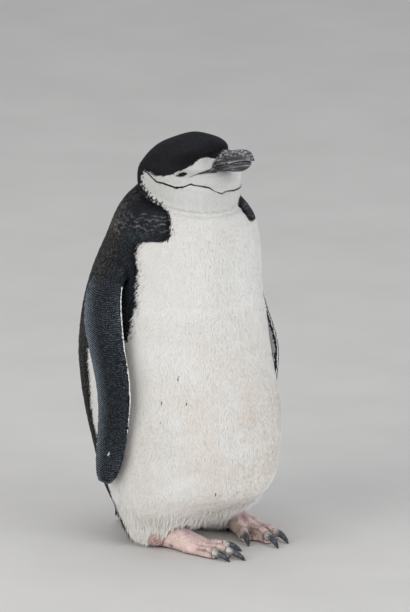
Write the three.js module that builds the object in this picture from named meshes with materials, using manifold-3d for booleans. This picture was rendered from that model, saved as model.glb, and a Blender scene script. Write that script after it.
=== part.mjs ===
// Chinstrap penguin, life size, standing at rest with its neck drawn in, its eyes almost shut and its
// flippers hanging. Millimetres, +Z up. The bird looks along -Y and its left side is +X.
// The origin is on the floor, under the middle of the whole model.
import * as THREE from "three";
import { mergeVertices } from "three/addons/utils/BufferGeometryUtils.js";
import Module from "manifold-3d";

const wasm = await Module();
wasm.setup();

// ---- driving dimensions ----
const meetingGap = 0.3; // left between two parts that touch
const soleDepth = 1.2; // how far feet and claws are modelled below the floor before they are cut flat

// Feathered body from the neck down to the belly: height, back, front, half width, and the share by which
// the chest is narrower than the back. Back and front are distances along the way the bird faces, from the
// vertical line through the middle of the neck.
const torsoRows = [
  [9, -22, 36, 26, 0],
  [14, -46, 66, 50, -0.2],
  [25, -64, 86, 68, -0.11],
  [39, -75, 92, 79, -0.07],
  [55, -84, 95, 85, -0.01],
  [70, -91, 96.5, 88.5, 0],
  [92, -96, 97, 92, 0.02],
  [113, -102, 97, 95, 0.02],
  [133, -108, 96, 96.5, 0],
  [153, -114, 92, 96, 0],
  [174, -118, 86.5, 95, 0],
  [194, -120, 81, 94.5, 0],
  [215, -118.5, 77, 93, 0],
  [237, -115.5, 74.5, 91.5, 0.01],
  [258, -111, 73, 88.6, 0.05],
  [280, -103, 73.5, 86.3, 0.08],
  [303, -91, 73, 84.4, 0.11],
  [325, -78.5, 70, 81, 0.115],
  [336, -73.5, 66.5, 78.9, 0.135],
  [347, -68.4, 61.5, 75.3, 0.16],
  [357, -64.5, 55.5, 66.8, 0.21],
  [366, -58, 50, 58, 0.2],
  [376, -46, 44, 46, 0.1],
  [385, -30, 32, 31, 0],
];
const torsoRings = 34;
const torsoSides = 40;
const belly = { lift: 33, liftEnds: 80, fades: [45, 120] }; // the hem rises in front, less so higher up

// Head and throat, a dome with its fold line lower in front: height, back, front, half width, and the share
// by which the face is narrower than the back of the head.
const headRows = [
  [342, -34, 36, 33, 0],
  [354, -46.5, 49, 45, 0],
  [366, -51.5, 54.5, 49.5, 0.03],
  [378, -52.5, 57, 50.5, 0.05],
  [388, -51.5, 57, 50, 0.08],
  [394, -49.5, 52.5, 48.5, 0.2],
  [399, -47, 46.5, 46, 0.34],
  [405, -42.5, 44.5, 43, 0.34],
  [411, -37, 45.5, 39.5, 0.25],
  [419, -27, 47.5, 33, 0.12],
  [426, -13.5, 43, 24, 0.05],
  [431, -1, 31, 11.5, 0],
  [433.4, 8, 22, 4, 0],
];
const headRings = 22;
const headSides = 32;
const fold = { height: 366, slope: 0.19, fades: [372, 402] }; // it falls towards the front, less so higher up
const crownStart = 398; // height above which the head closes in towards its crown
const headTurn = 3; // degrees to the bird's left
const neckDepth = 17; // of the neck, between the fold under the head and the shoulders

// Bill, in its own frame: forward along the bill, up across it.
const billBase = { forward: 44, up: 408.5 };
const billPitch = 12;
const muzzleRows = [ // forward, half width, top, bottom
  [-34, 27, 15, -21],
  [-22, 22.5, 14, -18],
  [-12, 17.5, 12, -15],
  [-4, 13, 10, -12.8],
  [3.5, 10, 8.7, -11.8],
];
const muzzleSlant = { most: 0.82, starts: -28, ends: 2 }; // feathers reach further on top than at the gape
const muzzleRings = 8;
const muzzleSides = 20;
const upperBillRows = [ // forward, half width, top, biting edge
  [-14, 10, 9.2, -8.4],
  [-6, 9.7, 8.8, -7],
  [2, 9.1, 8.5, -5.2],
  [11, 8.4, 8.7, -3.7],
  [22, 7.6, 9.6, -2.3],
  [31, 6.8, 10, -1.6],
  [38, 6, 9.8, -1.4],
  [43.5, 4.9, 8.9, -1.6],
  [47.5, 3.6, 6.4, -2.4],
  [49.9, 2.2, 3, -3.6],
  [51, 0.9, 0.2, -3.8],
];
const lowerBillRows = [ // forward, half width, biting edge, bottom
  [-14, 9.4, -9.2, -11],
  [-6, 9.2, -7.8, -11],
  [2, 8.6, -6, -11.4],
  [11, 7.9, -4.5, -12.2],
  [20, 7.1, -3.3, -12.9],
  [28.4, 6.3, -2.6, -13.1],
  [35, 5.4, -2.3, -12.2],
  [40, 4.2, -2.4, -10.4],
  [44, 2.8, -3.1, -7.8],
  [46.4, 1.2, -3.8, -5.6],
];
const billRings = 14;
const billSides = 13; // of the arch of each half
const billArch = { power: 0.85, palate: 0.12, palateHalf: 0.5 }; // roundness, hollow between the edges
const nostril = { forward: 17, side: 8, up: 2.6, length: 3.8, height: 0.9, depth: 1.4 };
const gape = { forward: 41, side: 16.8, up: 397.8, length: 8, height: 0.8, depth: 3, runs: 50 };

const chin = { forward: 24, up: 387, length: 37, halfWidth: 39.3, height: 16.5, sides: 30 }; // swells under the bill

// Eye, almost shut: the ball lies under the lids and shows only through the slit.
const eye = { forward: 23.5, side: 32, up: 396, ball: 6, lidCover: 1.2, facing: 36 };
const slit = { length: 5.4, height: 0.9, depth: 4, rise: 9 };
const lid = { length: 9.5, height: 4.6, depth: 2, sunk: 0.2 };

// Flipper, hung by the side: height, middle, half chord, half thickness, distance from the middle plane.
const flipperRows = [
  [74, -21.5, 8.5, 2.3, 97],
  [80, -18.5, 14.5, 2.6, 98],
  [92, -13.1, 18.8, 2.9, 100],
  [110, -7.5, 20.8, 3.2, 102],
  [130, -3.1, 21.8, 3.6, 103],
  [160, -0.2, 24.5, 4, 103.5],
  [190, -4.5, 27, 4.3, 103],
  [225, -15.2, 28.8, 4.6, 102],
  [250, -21.5, 28.5, 5, 99],
  [275, -25, 25, 5.5, 93.5],
  [294, -23, 20, 5.5, 84],
  [306, -22, 12, 4, 74],
];
const flipperRings = 20;
const flipperSides = 14;
const flipperBlunt = 0.25; // how much thicker the leading edge is than the middle
const flipperSpread = { right: 0, left: 0.8 }; // degrees that each hangs out from the shoulder
const flipperBends = { // height, and how much further out each flipper hangs there
  right: [[0, 0], [300, 0]],
  left: [[60, -2.3], [145, -2.3], [165, -0.8], [187, 1.6], [208, 0.2], [230, -3.2], [262, -2], [290, 0]],
};
const shoulderHeight = 290;

// Tail: stiff feathers in tiers under a cone of coverts. Each tier's length is that of its middle feathers.
const tail = { forward: -79, up: 80, dip: 76, width: 9.5, thickness: 1.2, step: 3.1, spread: 2.5, droop: 3 };
const tailTiers = [
  { feathers: 9, length: 88, rise: 0 },
  { feathers: 8, length: 66, rise: 1.7 },
  { feathers: 7, length: 52, rise: 3.3 },
];
const vaneRows = [[0, 0.75], [0.25, 0.83], [0.5, 0.92], [0.75, 1], [0.92, 0.58], [1, 0.14]]; // along, width
const tailShortens = 0.022; // share of its length by which the feather next to the middle one is shorter
const tailFalls = 0.75; // how far each feather lies below the next one towards the middle
const covertRings = 8;
const covertSides = 20;
const covertRows = [ // along the tail, half width, half depth
  [-16, 31, 17],
  [0, 27, 14.5],
  [18, 21, 10],
  [34, 15, 6],
  [47, 9, 3],
];

// Feathered shanks: height, half length, half width, then how far forward and outward of the leg's middle.
const shankRows = [
  [2, 21, 17, 5, 6],
  [5, 26, 22, 4, 4],
  [10, 31, 27, 2, 2],
  [20, 36, 31, 0, 0],
  [40, 42, 36, 0, 0],
  [60, 42, 36, 0, 0],
  [76, 30, 26, 0, 0],
];
const shankRings = 12;
const shankSides = 24;
const shank = { right: { forward: -6, left: -42 }, left: { forward: -10, left: 40 } };

// Feet: where each middle claw ends, how far the foot is turned in, how much more its side toes turn in,
// how much taller than usual its toes are, and how much higher its claws start.
const feet = {
  right: { forward: 112, left: -23, turnIn: 12, taller: 1, raised: 0.8, closing: { inner: 3.5, outer: 5.6 } },
  left: { forward: 101.5, left: 33, turnIn: 13, taller: 1.25, raised: 2.4, closing: { inner: -2.9, outer: 0 } },
};
const footLength = 101; // heel to the tip of the middle claw
const instepRings = 9;
const instepSides = 14;
const instepMiddle = 20; // forward from the heel
const instepRows = [ // forward from the heel, half width, height
  [-9, 6, 12],
  [-4, 10.5, 19],
  [8, 12.5, 24],
  [20, 14, 22],
  [32, 16.5, 18],
  [44, 18, 13.5],
  [52, 15, 9],
];
const toes = [ // side is towards the other foot; reach is to the tip of the claw
  { name: "inner", root: 37, side: 9.5, reach: 44.3, splay: 20.5, half: 6, height: 12, claw: 17 },
  { name: "middle", root: 37, side: 0, reach: 64, splay: 0, half: 6.6, height: 13, claw: 20 },
  { name: "outer", root: 37, side: -9.5, reach: 53.8, splay: -9.6, half: 6.2, height: 12, claw: 18.5 },
];
const hindToe = {
  name: "hind", root: 9, side: 9, up: 5.5, reach: 14, splay: 24, half: 3.4, height: 8, claw: 7,
};
const frontClaw = { half: 3.9, height: 8.6, start: 5.8, socket: 3 };
const hindClaw = { half: 1.9, height: 4.2, start: 4.5, socket: 1.5 };
const clawTip = { half: 0.5, height: 0.4, power: 0.45, falls: 2.6 };
const toeSides = 9;
const toeSteps = 6;
const toeStart = -6; // inside the foot, from the root
const knuckles = { count: 3.2, swell: 0.1, phase: 0.5 };
const toeTaper = { width: 0.14, raised: 1.12, height: 0.3, tip: 0.88, tipStarts: 0.9 };
const web = { reach: 0.84, sag: 0.2, low: 0.8, thick: 5.4, rootDepth: 8 };

// ---- colours ----
const finish = (hex, roughness) => new THREE.MeshStandardMaterial({ color: hex, roughness, metalness: 0 });
const materials = {
  whiteDown: finish(0xdeddd9, 0.85),
  blackDown: finish(0x23272c, 0.8),
  flipper: finish(0x2b333b, 0.7),
  bill: finish(0x2a2b2d, 0.45),
  eye: finish(0x120c0a, 0.1),
  foot: finish(0xd7ab9b, 0.6),
  claw: finish(0x3a3e42, 0.4),
};

// ---- small tools ----
const radians = THREE.MathUtils.degToRad;
const smoothstep = THREE.MathUtils.smoothstep;
const place = (forward, left, up) => new THREE.Vector3(left, -forward, up);

// The rows' values at a position in their first column, on a smooth curve through them.
function sample(rows, position) {
  const last = rows.length - 1;
  let i = 0;
  while (i < last - 1 && position > rows[i + 1][0]) i += 1;
  const span = rows[i + 1][0] - rows[i][0];
  const t = THREE.MathUtils.clamp((position - rows[i][0]) / span, 0, 1);
  const slope = (k, column) => {
    const a = Math.max(k - 1, 0);
    const b = Math.min(k + 1, last);
    return (rows[b][column] - rows[a][column]) / (rows[b][0] - rows[a][0]);
  };
  return rows[i].slice(1).map((value, index) => {
    const column = index + 1;
    const next = rows[i + 1][column];
    const m0 = slope(i, column) * span;
    const m1 = slope(i + 1, column) * span;
    const t2 = t * t;
    const t3 = t2 * t;
    return value * (2 * t3 - 3 * t2 + 1) + m0 * (t3 - 2 * t2 + t) + next * (3 * t2 - 2 * t3) + m1 * (t3 - t2);
  });
}

// Positions from the first row to the last, closer together towards both ends, where the shape closes.
function stations(rows, count) {
  const first = rows[0][0];
  const span = rows[rows.length - 1][0] - first;
  return Array.from({ length: count }, (_, i) => {
    const t = i / (count - 1);
    return first + span * (0.6 * t + 0.4 * smoothstep(t, 0, 1));
  });
}

// A round section between back and front, its half width to each side, narrowed by a share towards the front.
function section(back, front, half, sides, grow = 0, narrowing = 0, power = 2.15) {
  const middle = (back + front) / 2;
  const reach = (front - back) / 2 + grow;
  return Array.from({ length: sides }, (_, i) => {
    const angle = (2 * Math.PI * i) / sides;
    const c = Math.cos(angle);
    const s = Math.sin(angle);
    const width = half * (1 - narrowing * ((1 + c) / 2) ** 1.5) + grow;
    return [
      middle + reach * Math.sign(c) * Math.abs(c) ** (2 / power),
      width * Math.sign(s) * Math.abs(s) ** (2 / power),
    ];
  });
}

// A solid from closed triangles, turned the right way round.
function toSolid(positions, triangles) {
  const vertProperties = new Float32Array(positions);
  const make = (order) => new wasm.Manifold(new wasm.Mesh({ numProp: 3, vertProperties, triVerts: order }));
  const made = make(new Uint32Array(triangles));
  if (made.volume() >= 0) return made;
  for (let i = 0; i < triangles.length; i += 3) {
    [triangles[i + 1], triangles[i + 2]] = [triangles[i + 2], triangles[i + 1]];
  }
  return make(new Uint32Array(triangles));
}

// A skin over rings that have the same number of points, closed at both ends.
function loft(rings) {
  const sides = rings[0].length;
  const points = rings.flat();
  const triangles = [];
  for (let r = 0; r < rings.length - 1; r += 1) {
    for (let i = 0; i < sides; i += 1) {
      const a = r * sides + i;
      const b = r * sides + ((i + 1) % sides);
      triangles.push(a, b, b + sides, a, b + sides, a + sides);
    }
  }
  const cap = (ring, start, outward) => {
    const middle = ring.reduce((sum, p) => sum.add(p), new THREE.Vector3()).divideScalar(sides);
    const centre = points.push(middle) - 1;
    for (let i = 0; i < sides; i += 1) {
      const a = start + i;
      const b = start + ((i + 1) % sides);
      if (outward) triangles.push(centre, a, b);
      else triangles.push(centre, b, a);
    }
  };
  cap(rings[0], 0, false);
  cap(rings[rings.length - 1], (rings.length - 1) * sides, true);
  return toSolid(points.flatMap((p) => [p.x, p.y, p.z]), triangles);
}

// A solid from a closed three.js geometry.
function fromGeometry(geometry) {
  const plain = geometry.clone();
  plain.deleteAttribute("normal");
  plain.deleteAttribute("uv");
  const merged = mergeVertices(plain, 1e-4);
  return toSolid([...merged.attributes.position.array], [...merged.index.array]);
}

// An ellipsoid whose length, depth and height lie along the bird's forward, left and up before it is turned.
function ellipsoid(length, depth, height, centre, turn = new THREE.Matrix4(), sides = 14) {
  const ball = new THREE.SphereGeometry(1, sides, Math.round(sides * 0.57));
  ball.scale(depth, length, height);
  ball.applyMatrix4(turn);
  ball.translate(centre.x, centre.y, centre.z);
  return fromGeometry(ball);
}

function largest(solid) {
  const pieces = solid.decompose();
  return pieces.reduce((best, piece) => (piece.volume() > best.volume() ? piece : best));
}

const joined = (solids) => solids.reduce((whole, piece) => whole.add(piece));
const without = (solid, ...cutters) => cutters.reduce((left, cutter) => left.subtract(cutter), solid);
const onFloor = (solid) => solid.trimByPlane([0, 0, 1], 0);

// ---- body ----
function torsoSolid(grow = 0) {
  const rings = stations(torsoRows, torsoRings).map((up) => {
    const [back, front, half, narrowing] = sample(torsoRows, up);
    const hold = 1 - smoothstep(up, ...belly.fades);
    return section(back, front, half, torsoSides, grow, narrowing).map(([forward, left]) => {
      const lift = belly.lift * smoothstep(forward, 0, belly.liftEnds) * hold;
      return place(forward, left, up + lift);
    });
  });
  return loft(rings);
}

function headShell(grow = 0) {
  const rings = stations(headRows, headRings).map((up) => {
    const [back, front, half, narrowing] = sample(headRows, up);
    const slope = fold.slope * (1 - smoothstep(up, ...fold.fades));
    return section(back, front, half, headSides, grow, narrowing).map(([forward, left]) =>
      place(forward, left, up - slope * forward + (up > crownStart ? grow : 0)),
    );
  });
  return loft(rings);
}

// A point in the bill's frame, on the body.
const pitch = radians(billPitch);
function billPoint(forward, left, up) {
  return place(
    billBase.forward + forward * Math.cos(pitch) - up * Math.sin(pitch),
    left,
    billBase.up + forward * Math.sin(pitch) + up * Math.cos(pitch),
  );
}

function muzzle(grow = 0) {
  const rings = stations(muzzleRows, muzzleRings).map((forward) => {
    const [half, top, bottom] = sample(muzzleRows, forward);
    const slant = muzzleSlant.most * smoothstep(forward, muzzleSlant.starts, muzzleSlant.ends);
    return section(bottom, top, half, muzzleSides, grow).map(([up, left]) =>
      billPoint(forward + slant * up + grow, left, up),
    );
  });
  return loft(rings);
}

function chinSwell(grow = 0) {
  const sizes = [chin.length, chin.halfWidth, chin.height].map((size) => size + grow);
  return ellipsoid(...sizes, place(chin.forward, 0, chin.up), undefined, chin.sides);
}

function eyeAt(side) {
  const turn = new THREE.Matrix4().makeRotationZ(-side * radians(eye.facing));
  turn.multiply(new THREE.Matrix4().makeRotationX(-radians(slit.rise)));
  const outward = new THREE.Vector3(side, 0, 0).applyMatrix4(turn);
  const skin = place(eye.forward, side * eye.side, eye.up);
  return { turn, skin, centre: skin.clone().addScaledVector(outward, -eye.ball - eye.lidCover) };
}

function headSolid() {
  const socket = eye.ball + meetingGap;
  let head = headShell().add(muzzle()).add(chinSwell());
  for (const side of [-1, 1]) {
    const { turn, skin, centre } = eyeAt(side);
    head = head.add(ellipsoid(lid.length, lid.depth, lid.height, skin.clone().lerp(centre, lid.sunk), turn));
    head = head.subtract(ellipsoid(slit.length, slit.depth, slit.height, skin, turn));
    head = head.subtract(ellipsoid(socket, socket, socket, centre));
    const corner = place(gape.forward, side * gape.side, gape.up);
    const along = new THREE.Matrix4().makeRotationZ(-side * radians(gape.runs));
    head = head.subtract(ellipsoid(gape.length, gape.depth, gape.height, corner, along));
  }
  return head;
}

// ---- bill ----
function upperBill() {
  const rings = stations(upperBillRows, billRings).map((forward) => {
    const [half, top, edge] = sample(upperBillRows, forward);
    const height = top - edge;
    const arch = Array.from({ length: billSides }, (_, i) => {
      const angle = (Math.PI * i) / (billSides - 1);
      return billPoint(forward, Math.cos(angle) * half, edge + height * Math.sin(angle) ** billArch.power);
    });
    const palate = [-1, 1].map((share) =>
      billPoint(forward, share * billArch.palateHalf * half, edge + billArch.palate * height),
    );
    return [...arch, ...palate];
  });
  return loft(rings);
}

function lowerBill() {
  const rings = stations(lowerBillRows, billRings).map((forward) => {
    const [half, edge, bottom] = sample(lowerBillRows, forward);
    return Array.from({ length: billSides }, (_, i) => {
      const angle = Math.PI + (Math.PI * i) / (billSides - 1);
      return billPoint(forward, Math.cos(angle) * half, edge + (edge - bottom) * Math.sin(angle));
    });
  });
  return loft(rings);
}

// ---- flippers ----
function flipperSolid(side, spread, bends) {
  const swing = Math.tan(radians(spread));
  const rings = stations(flipperRows, flipperRings).map((up) => {
    const [middle, chord, thick, out] = sample(flipperRows, up);
    const [bend] = sample(bends, up);
    const away = out + bend + swing * Math.max(0, shoulderHeight - up);
    return Array.from({ length: flipperSides }, (_, i) => {
      const angle = (2 * Math.PI * i) / flipperSides;
      const along = Math.cos(angle);
      const blunt = 1 + flipperBlunt * along;
      return place(middle + chord * along, side * (away + thick * blunt * Math.sin(angle)), up);
    });
  });
  return loft(rings);
}

// ---- tail ----
function tailPoint(along, left, across) {
  const dip = radians(tail.dip);
  return place(
    tail.forward - along * Math.cos(dip) - across * Math.sin(dip),
    left,
    tail.up - along * Math.sin(dip) + across * Math.cos(dip),
  );
}

// One feather: widest at three quarters of its length, with a raised shaft and edges that fall away.
function tailFeather(tier, index) {
  const offset = index - (tier.feathers - 1) / 2;
  const length = tier.length * (1 - tailShortens * offset * offset);
  const splay = radians(offset * tail.spread);
  const rings = vaneRows.map(([t, width]) => {
    const along = t * length;
    const half = (tail.width / 2) * width;
    const thick = (tail.thickness / 2) * (1 - 0.35 * t);
    const middle = offset * tail.step + along * Math.sin(splay);
    const lie = tier.rise - tailFalls * Math.abs(offset) - tail.droop * t * t;
    return [
      [-half, -0.3 * thick],
      [0, thick * 1.5],
      [half, -0.3 * thick],
      [0, -thick],
    ].map(([left, across]) => tailPoint(along * Math.cos(splay), middle + left, lie + across));
  });
  return loft(rings);
}

function tailSolid() {
  const coverts = stations(covertRows, covertRings).map((along) => {
    const [half, depth] = sample(covertRows, along);
    return section(-depth, depth, half, covertSides).map(([across, left]) => tailPoint(along, left, across));
  });
  const feathers = tailTiers.flatMap((tier) =>
    Array.from({ length: tier.feathers }, (_, i) => tailFeather(tier, i)),
  );
  return joined([loft(coverts), ...feathers]);
}

// ---- legs and feet ----
function shankSolid(side) {
  const { forward, left } = shank[side];
  const rings = stations(shankRows, shankRings).map((up) => {
    const [length, width, ahead, outward] = sample(shankRows, up);
    const middle = left + outward * Math.sign(left);
    return section(ahead - length, ahead + length, width, shankSides).map(([f, l]) => place(forward + f, middle + l, up));
  });
  return loft(rings);
}

// The matrix that sets a foot down: in the foot's own frame it points forward and its inner side is +left.
function footMatrix(side) {
  const { forward, left, turnIn } = feet[side];
  const inward = side === "right" ? 1 : -1;
  const angle = radians(turnIn * inward);
  const heel = place(forward - footLength * Math.cos(angle), left - footLength * Math.sin(angle), 0);
  const matrix = new THREE.Matrix4().makeTranslation(heel.x, heel.y, heel.z);
  matrix.multiply(new THREE.Matrix4().makeRotationZ(angle));
  return { matrix, inward };
}

function footLoft(side, rings) {
  const { matrix, inward } = footMatrix(side);
  return loft(rings.map((ring) => ring.map(([f, l, u]) => place(f, l * inward, u).applyMatrix4(matrix))));
}

const frontToes = (side) => {
  const { closing, taller } = feet[side];
  return toes.map((toe) => ({ ...toe, splay: toe.splay + (closing[toe.name] ?? 0), height: toe.height * taller }));
};

// A toe-like length from a root, tapering, with knuckles; it dips below the floor and is cut there.
function toeRings(toe, from, to, profile) {
  const splay = radians(toe.splay);
  return Array.from({ length: toeSteps + 1 }, (_, k) => {
    const t = k / toeSteps;
    const along = from + (to - from) * t;
    const [half, low, high] = profile(t);
    return Array.from({ length: toeSides }, (_, i) => {
      const angle = (2 * Math.PI * i) / toeSides;
      const side = Math.cos(angle) * half;
      const up = low + ((high - low) * (1 + Math.sin(angle))) / 2;
      return [
        toe.root + along * Math.cos(splay) - side * Math.sin(splay),
        toe.side + along * Math.sin(splay) + side * Math.cos(splay),
        up,
      ];
    });
  });
}

function toeProfile(toe, grow) {
  return (t) => {
    const knuckle = 1 + knuckles.swell * Math.sin(t * Math.PI * knuckles.count + knuckles.phase);
    const tip = t > toeTaper.tipStarts ? toeTaper.tip : 1;
    const width = toe.half * knuckle * tip * (1 - toeTaper.width * t);
    const height = toe.height * knuckle * tip * (toeTaper.raised - toeTaper.height * t);
    return [width + grow, -soleDepth - grow, height + grow];
  };
}

// A claw curves down from where it starts to the floor, and is highest at its root.
function clawProfile(claw, grow) {
  return (t) => {
    const taper = (1 - t) ** clawTip.power;
    const middle = claw.start * (1 - t ** clawTip.falls);
    const reach = (claw.height * taper) / 2 + clawTip.height + grow;
    return [claw.half * taper + clawTip.half + grow, middle - reach, middle + reach];
  };
}

function hindProfile(grow) {
  return (t) => {
    const reach = hindToe.height / 2 + grow;
    return [hindToe.half * (1 - toeTaper.width * t) + grow, hindToe.up - reach, hindToe.up + reach];
  };
}

function webPlate(side, a, b, grow) {
  const { matrix, inward } = footMatrix(side);
  const end = (toe, share) => {
    const reach = (toe.reach - toe.claw) * share;
    const splay = radians(toe.splay);
    return [toe.root + reach * Math.cos(splay), toe.side + reach * Math.sin(splay)];
  };
  const tipA = end(a, web.reach);
  const tipB = end(b, web.reach);
  const rootA = end(a, 0);
  const rootB = end(b, 0);
  const dip = [
    (tipA[0] + tipB[0]) / 2 - (tipA[0] - a.root) * web.sag,
    (tipA[1] + tipB[1]) / 2,
  ];
  const plan = new THREE.Shape();
  plan.moveTo(rootA[1], -rootA[0] + web.rootDepth);
  plan.lineTo(tipA[1], -tipA[0]);
  plan.quadraticCurveTo(dip[1], -dip[0], tipB[1], -tipB[0]);
  plan.lineTo(rootB[1], -rootB[0] + web.rootDepth);
  const depth = web.thick + 2 * grow;
  const plate = new THREE.ExtrudeGeometry(plan, { depth, bevelEnabled: false, curveSegments: 6 });
  plate.translate(0, 0, web.low - grow);
  if (inward < 0) plate.scale(-1, 1, 1);
  plate.applyMatrix4(matrix);
  return fromGeometry(plate);
}

function footSolid(side, grow = 0) {
  const instep = stations(instepRows, instepRings).map((forward) => {
    const [half, height] = sample(instepRows, forward);
    const outward = grow * Math.sign(forward - instepMiddle);
    const ring = section(-soleDepth, height, half, instepSides, grow);
    return ring.map(([up, left]) => [forward + outward, left, up]);
  });
  const toeEnd = (toe) => toe.reach - toe.claw + grow;
  const [inner, middle, outer] = frontToes(side);
  const pieces = [
    footLoft(side, instep),
    ...frontToes(side).map((toe) => footLoft(side, toeRings(toe, toeStart, toeEnd(toe), toeProfile(toe, grow)))),
    footLoft(side, toeRings(hindToe, toeStart, toeEnd(hindToe), hindProfile(grow))),
    webPlate(side, inner, middle, grow),
    webPlate(side, middle, outer, grow),
  ];
  return onFloor(joined(pieces));
}

// The claws of one foot, from the innermost outwards, the hind one last.
function clawSolids(side, grow = 0) {
  return [...frontToes(side), hindToe].map((toe) => {
    const claw = toe === hindToe ? hindClaw : { ...frontClaw, start: frontClaw.start + feet[side].raised };
    const from = toe.reach - toe.claw - claw.socket - grow;
    return onFloor(footLoft(side, toeRings(toe, from, toe.reach, clawProfile(claw, grow))));
  });
}

// ---- putting the bird together ----
const group = new THREE.Group();

function addNode(name, solid, material) {
  const mesh = largest(solid).getMesh();
  const geometry = new THREE.BufferGeometry();
  const positions = new Float32Array(mesh.numVert * 3);
  for (let i = 0; i < mesh.numVert; i += 1) {
    positions.set(mesh.vertProperties.subarray(i * mesh.numProp, i * mesh.numProp + 3), i * 3);
  }
  geometry.setAttribute("position", new THREE.BufferAttribute(positions, 3));
  geometry.setIndex(new THREE.BufferAttribute(mesh.triVerts, 1));
  geometry.computeVertexNormals();
  const node = new THREE.Mesh(geometry, material);
  node.name = name;
  group.add(node);
}

const sides = ["right", "left"];
const torsoWhole = torsoSolid();
const torsoGrown = torsoSolid(meetingGap).add(torsoSolid(meetingGap).translate([0, 0, -meetingGap]));

// Head and neck are parted from the body by two cuts that follow the fold under the face.
const foldNormal = new THREE.Vector3(0, -fold.slope, 1).normalize();
const turnHead = (solid) => solid.rotate([0, 0, headTurn]);
const headWhole = turnHead(headSolid());
const upperBody = torsoWhole.add(headWhole);
const keepAbove = (solid, height) => solid.trimByPlane(foldNormal.toArray(), foldNormal.z * height);
const keepBelow = (solid, height) =>
  solid.trimByPlane(foldNormal.clone().negate().toArray(), -foldNormal.z * height);

const head = keepAbove(upperBody, fold.height + meetingGap);
const neck = keepAbove(keepBelow(upperBody, fold.height), fold.height - neckDepth + meetingGap);
const torso = keepBelow(torsoWhole, fold.height - neckDepth);

addNode("torso", torso, materials.whiteDown);
addNode("neck", neck, materials.whiteDown);
addNode("head", head, materials.blackDown);

const billBlock = turnHead(headShell(meetingGap).add(muzzle(meetingGap)).add(chinSwell(meetingGap)));
const nostrils = [-1, 1].map((side) => {
  const middle = billPoint(nostril.forward, side * nostril.side, nostril.up);
  const turn = new THREE.Matrix4().makeRotationX(-pitch);
  return ellipsoid(nostril.length, nostril.depth, nostril.height, middle, turn);
});
addNode("bill_upper", without(turnHead(without(upperBill(), ...nostrils)), billBlock), materials.bill);
addNode("bill_lower", without(turnHead(lowerBill()), billBlock), materials.bill);

for (const [name, side] of [["eye_right", -1], ["eye_left", 1]]) {
  const { centre } = eyeAt(side);
  addNode(name, turnHead(ellipsoid(eye.ball, eye.ball, eye.ball, centre)), materials.eye);
}

for (const side of sides) {
  const mirror = side === "right" ? -1 : 1;
  const flipper = flipperSolid(mirror, flipperSpread[side], flipperBends[side]);
  addNode(`flipper_${side}`, without(flipper, torsoGrown), materials.flipper);
}

addNode("tail", onFloor(without(tailSolid(), torsoGrown)), materials.blackDown);

for (const side of sides) {
  const claws = clawSolids(side, meetingGap);
  const leg = without(shankSolid(side), torsoGrown, footSolid(side, meetingGap), ...claws);
  const foot = without(footSolid(side), torsoGrown, ...claws);
  addNode(`leg_${side}`, leg, materials.whiteDown);
  addNode(`foot_${side}`, foot, materials.foot);
  const names = [...toes, hindToe].map((toe) => toe.name);
  clawSolids(side).forEach((solid, i) => addNode(`claw_${side}_${names[i]}`, solid, materials.claw));
}

// The frame's origin is under the middle of everything.
const bounds = new THREE.Box3().setFromObject(group);
const centre = bounds.getCenter(new THREE.Vector3());
group.position.set(-centre.x, -centre.y, -bounds.min.z);

export default group;
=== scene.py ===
import math
import time

import bpy
import bmesh
import numpy as np
from mathutils import Matrix, Vector
from mathutils.bvhtree import BVHTree


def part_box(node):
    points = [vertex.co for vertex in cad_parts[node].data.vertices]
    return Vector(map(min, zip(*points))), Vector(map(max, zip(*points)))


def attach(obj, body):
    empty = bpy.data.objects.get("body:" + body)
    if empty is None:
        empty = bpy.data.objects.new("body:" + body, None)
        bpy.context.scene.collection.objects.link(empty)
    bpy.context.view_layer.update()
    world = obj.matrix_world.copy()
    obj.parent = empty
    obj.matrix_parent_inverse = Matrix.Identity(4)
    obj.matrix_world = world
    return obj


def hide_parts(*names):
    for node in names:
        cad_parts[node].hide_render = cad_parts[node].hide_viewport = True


# A chinstrap penguin at rest. Metres, the bird looks along -Y and its left side is +X.
startTime = time.time()
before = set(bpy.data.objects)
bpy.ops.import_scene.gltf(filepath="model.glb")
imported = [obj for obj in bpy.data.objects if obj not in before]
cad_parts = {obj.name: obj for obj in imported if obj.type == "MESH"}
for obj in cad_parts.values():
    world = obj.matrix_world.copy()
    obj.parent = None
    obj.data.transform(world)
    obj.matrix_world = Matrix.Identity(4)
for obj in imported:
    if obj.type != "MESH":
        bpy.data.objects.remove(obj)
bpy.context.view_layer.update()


def report(stage):
    print("penguin:", stage, "at", round(time.time() - startTime, 1), "s")


def added(name, data):  # a new object in the scene
    piece = bpy.data.objects.new(name, data)
    bpy.context.scene.collection.objects.link(piece)
    return piece


def meshFrom(bm, name):  # the shape made so far, as a mesh
    mesh = bpy.data.meshes.new(name)
    bm.to_mesh(mesh)
    bm.free()
    return mesh


def towards(azimuth, elevation):  # a way out from the bird, in degrees, where 0 is ahead and 90 its left side
    turn, rise = math.radians(azimuth), math.radians(elevation)
    return Vector((math.sin(turn) * math.cos(rise), -math.cos(turn) * math.cos(rise), math.sin(rise)))


def smoothStep(values, low, high):
    t = np.clip((values - low) / (high - low), 0, 1)
    return t * t * (3 - 2 * t)


def mixed(first, second, share):
    return first * (1 - share) + second * share


def hump(values, middle, width):  # 1 at the middle, fading on both sides
    return np.exp(-((values - middle) / width) ** 2)


# The bird's own axes and landmarks, all from the frame.
axisSettings = {"backReach": 0.120, "headTurn": 3.0}  # middle of the neck to the roundest point of the back
torsoLow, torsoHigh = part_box("torso")
axisX = (torsoLow.x + torsoHigh.x) / 2
axisY = torsoHigh.y - axisSettings["backReach"]
headTurn = Matrix.Rotation(math.radians(axisSettings["headTurn"]), 4, "Z")
foldSettings = {"height": 0.366, "slope": 0.19}  # the fold under the face falls towards the front


def birdPoint(forward, left, up):
    return Vector((axisX + left, axisY - forward, up))


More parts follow.
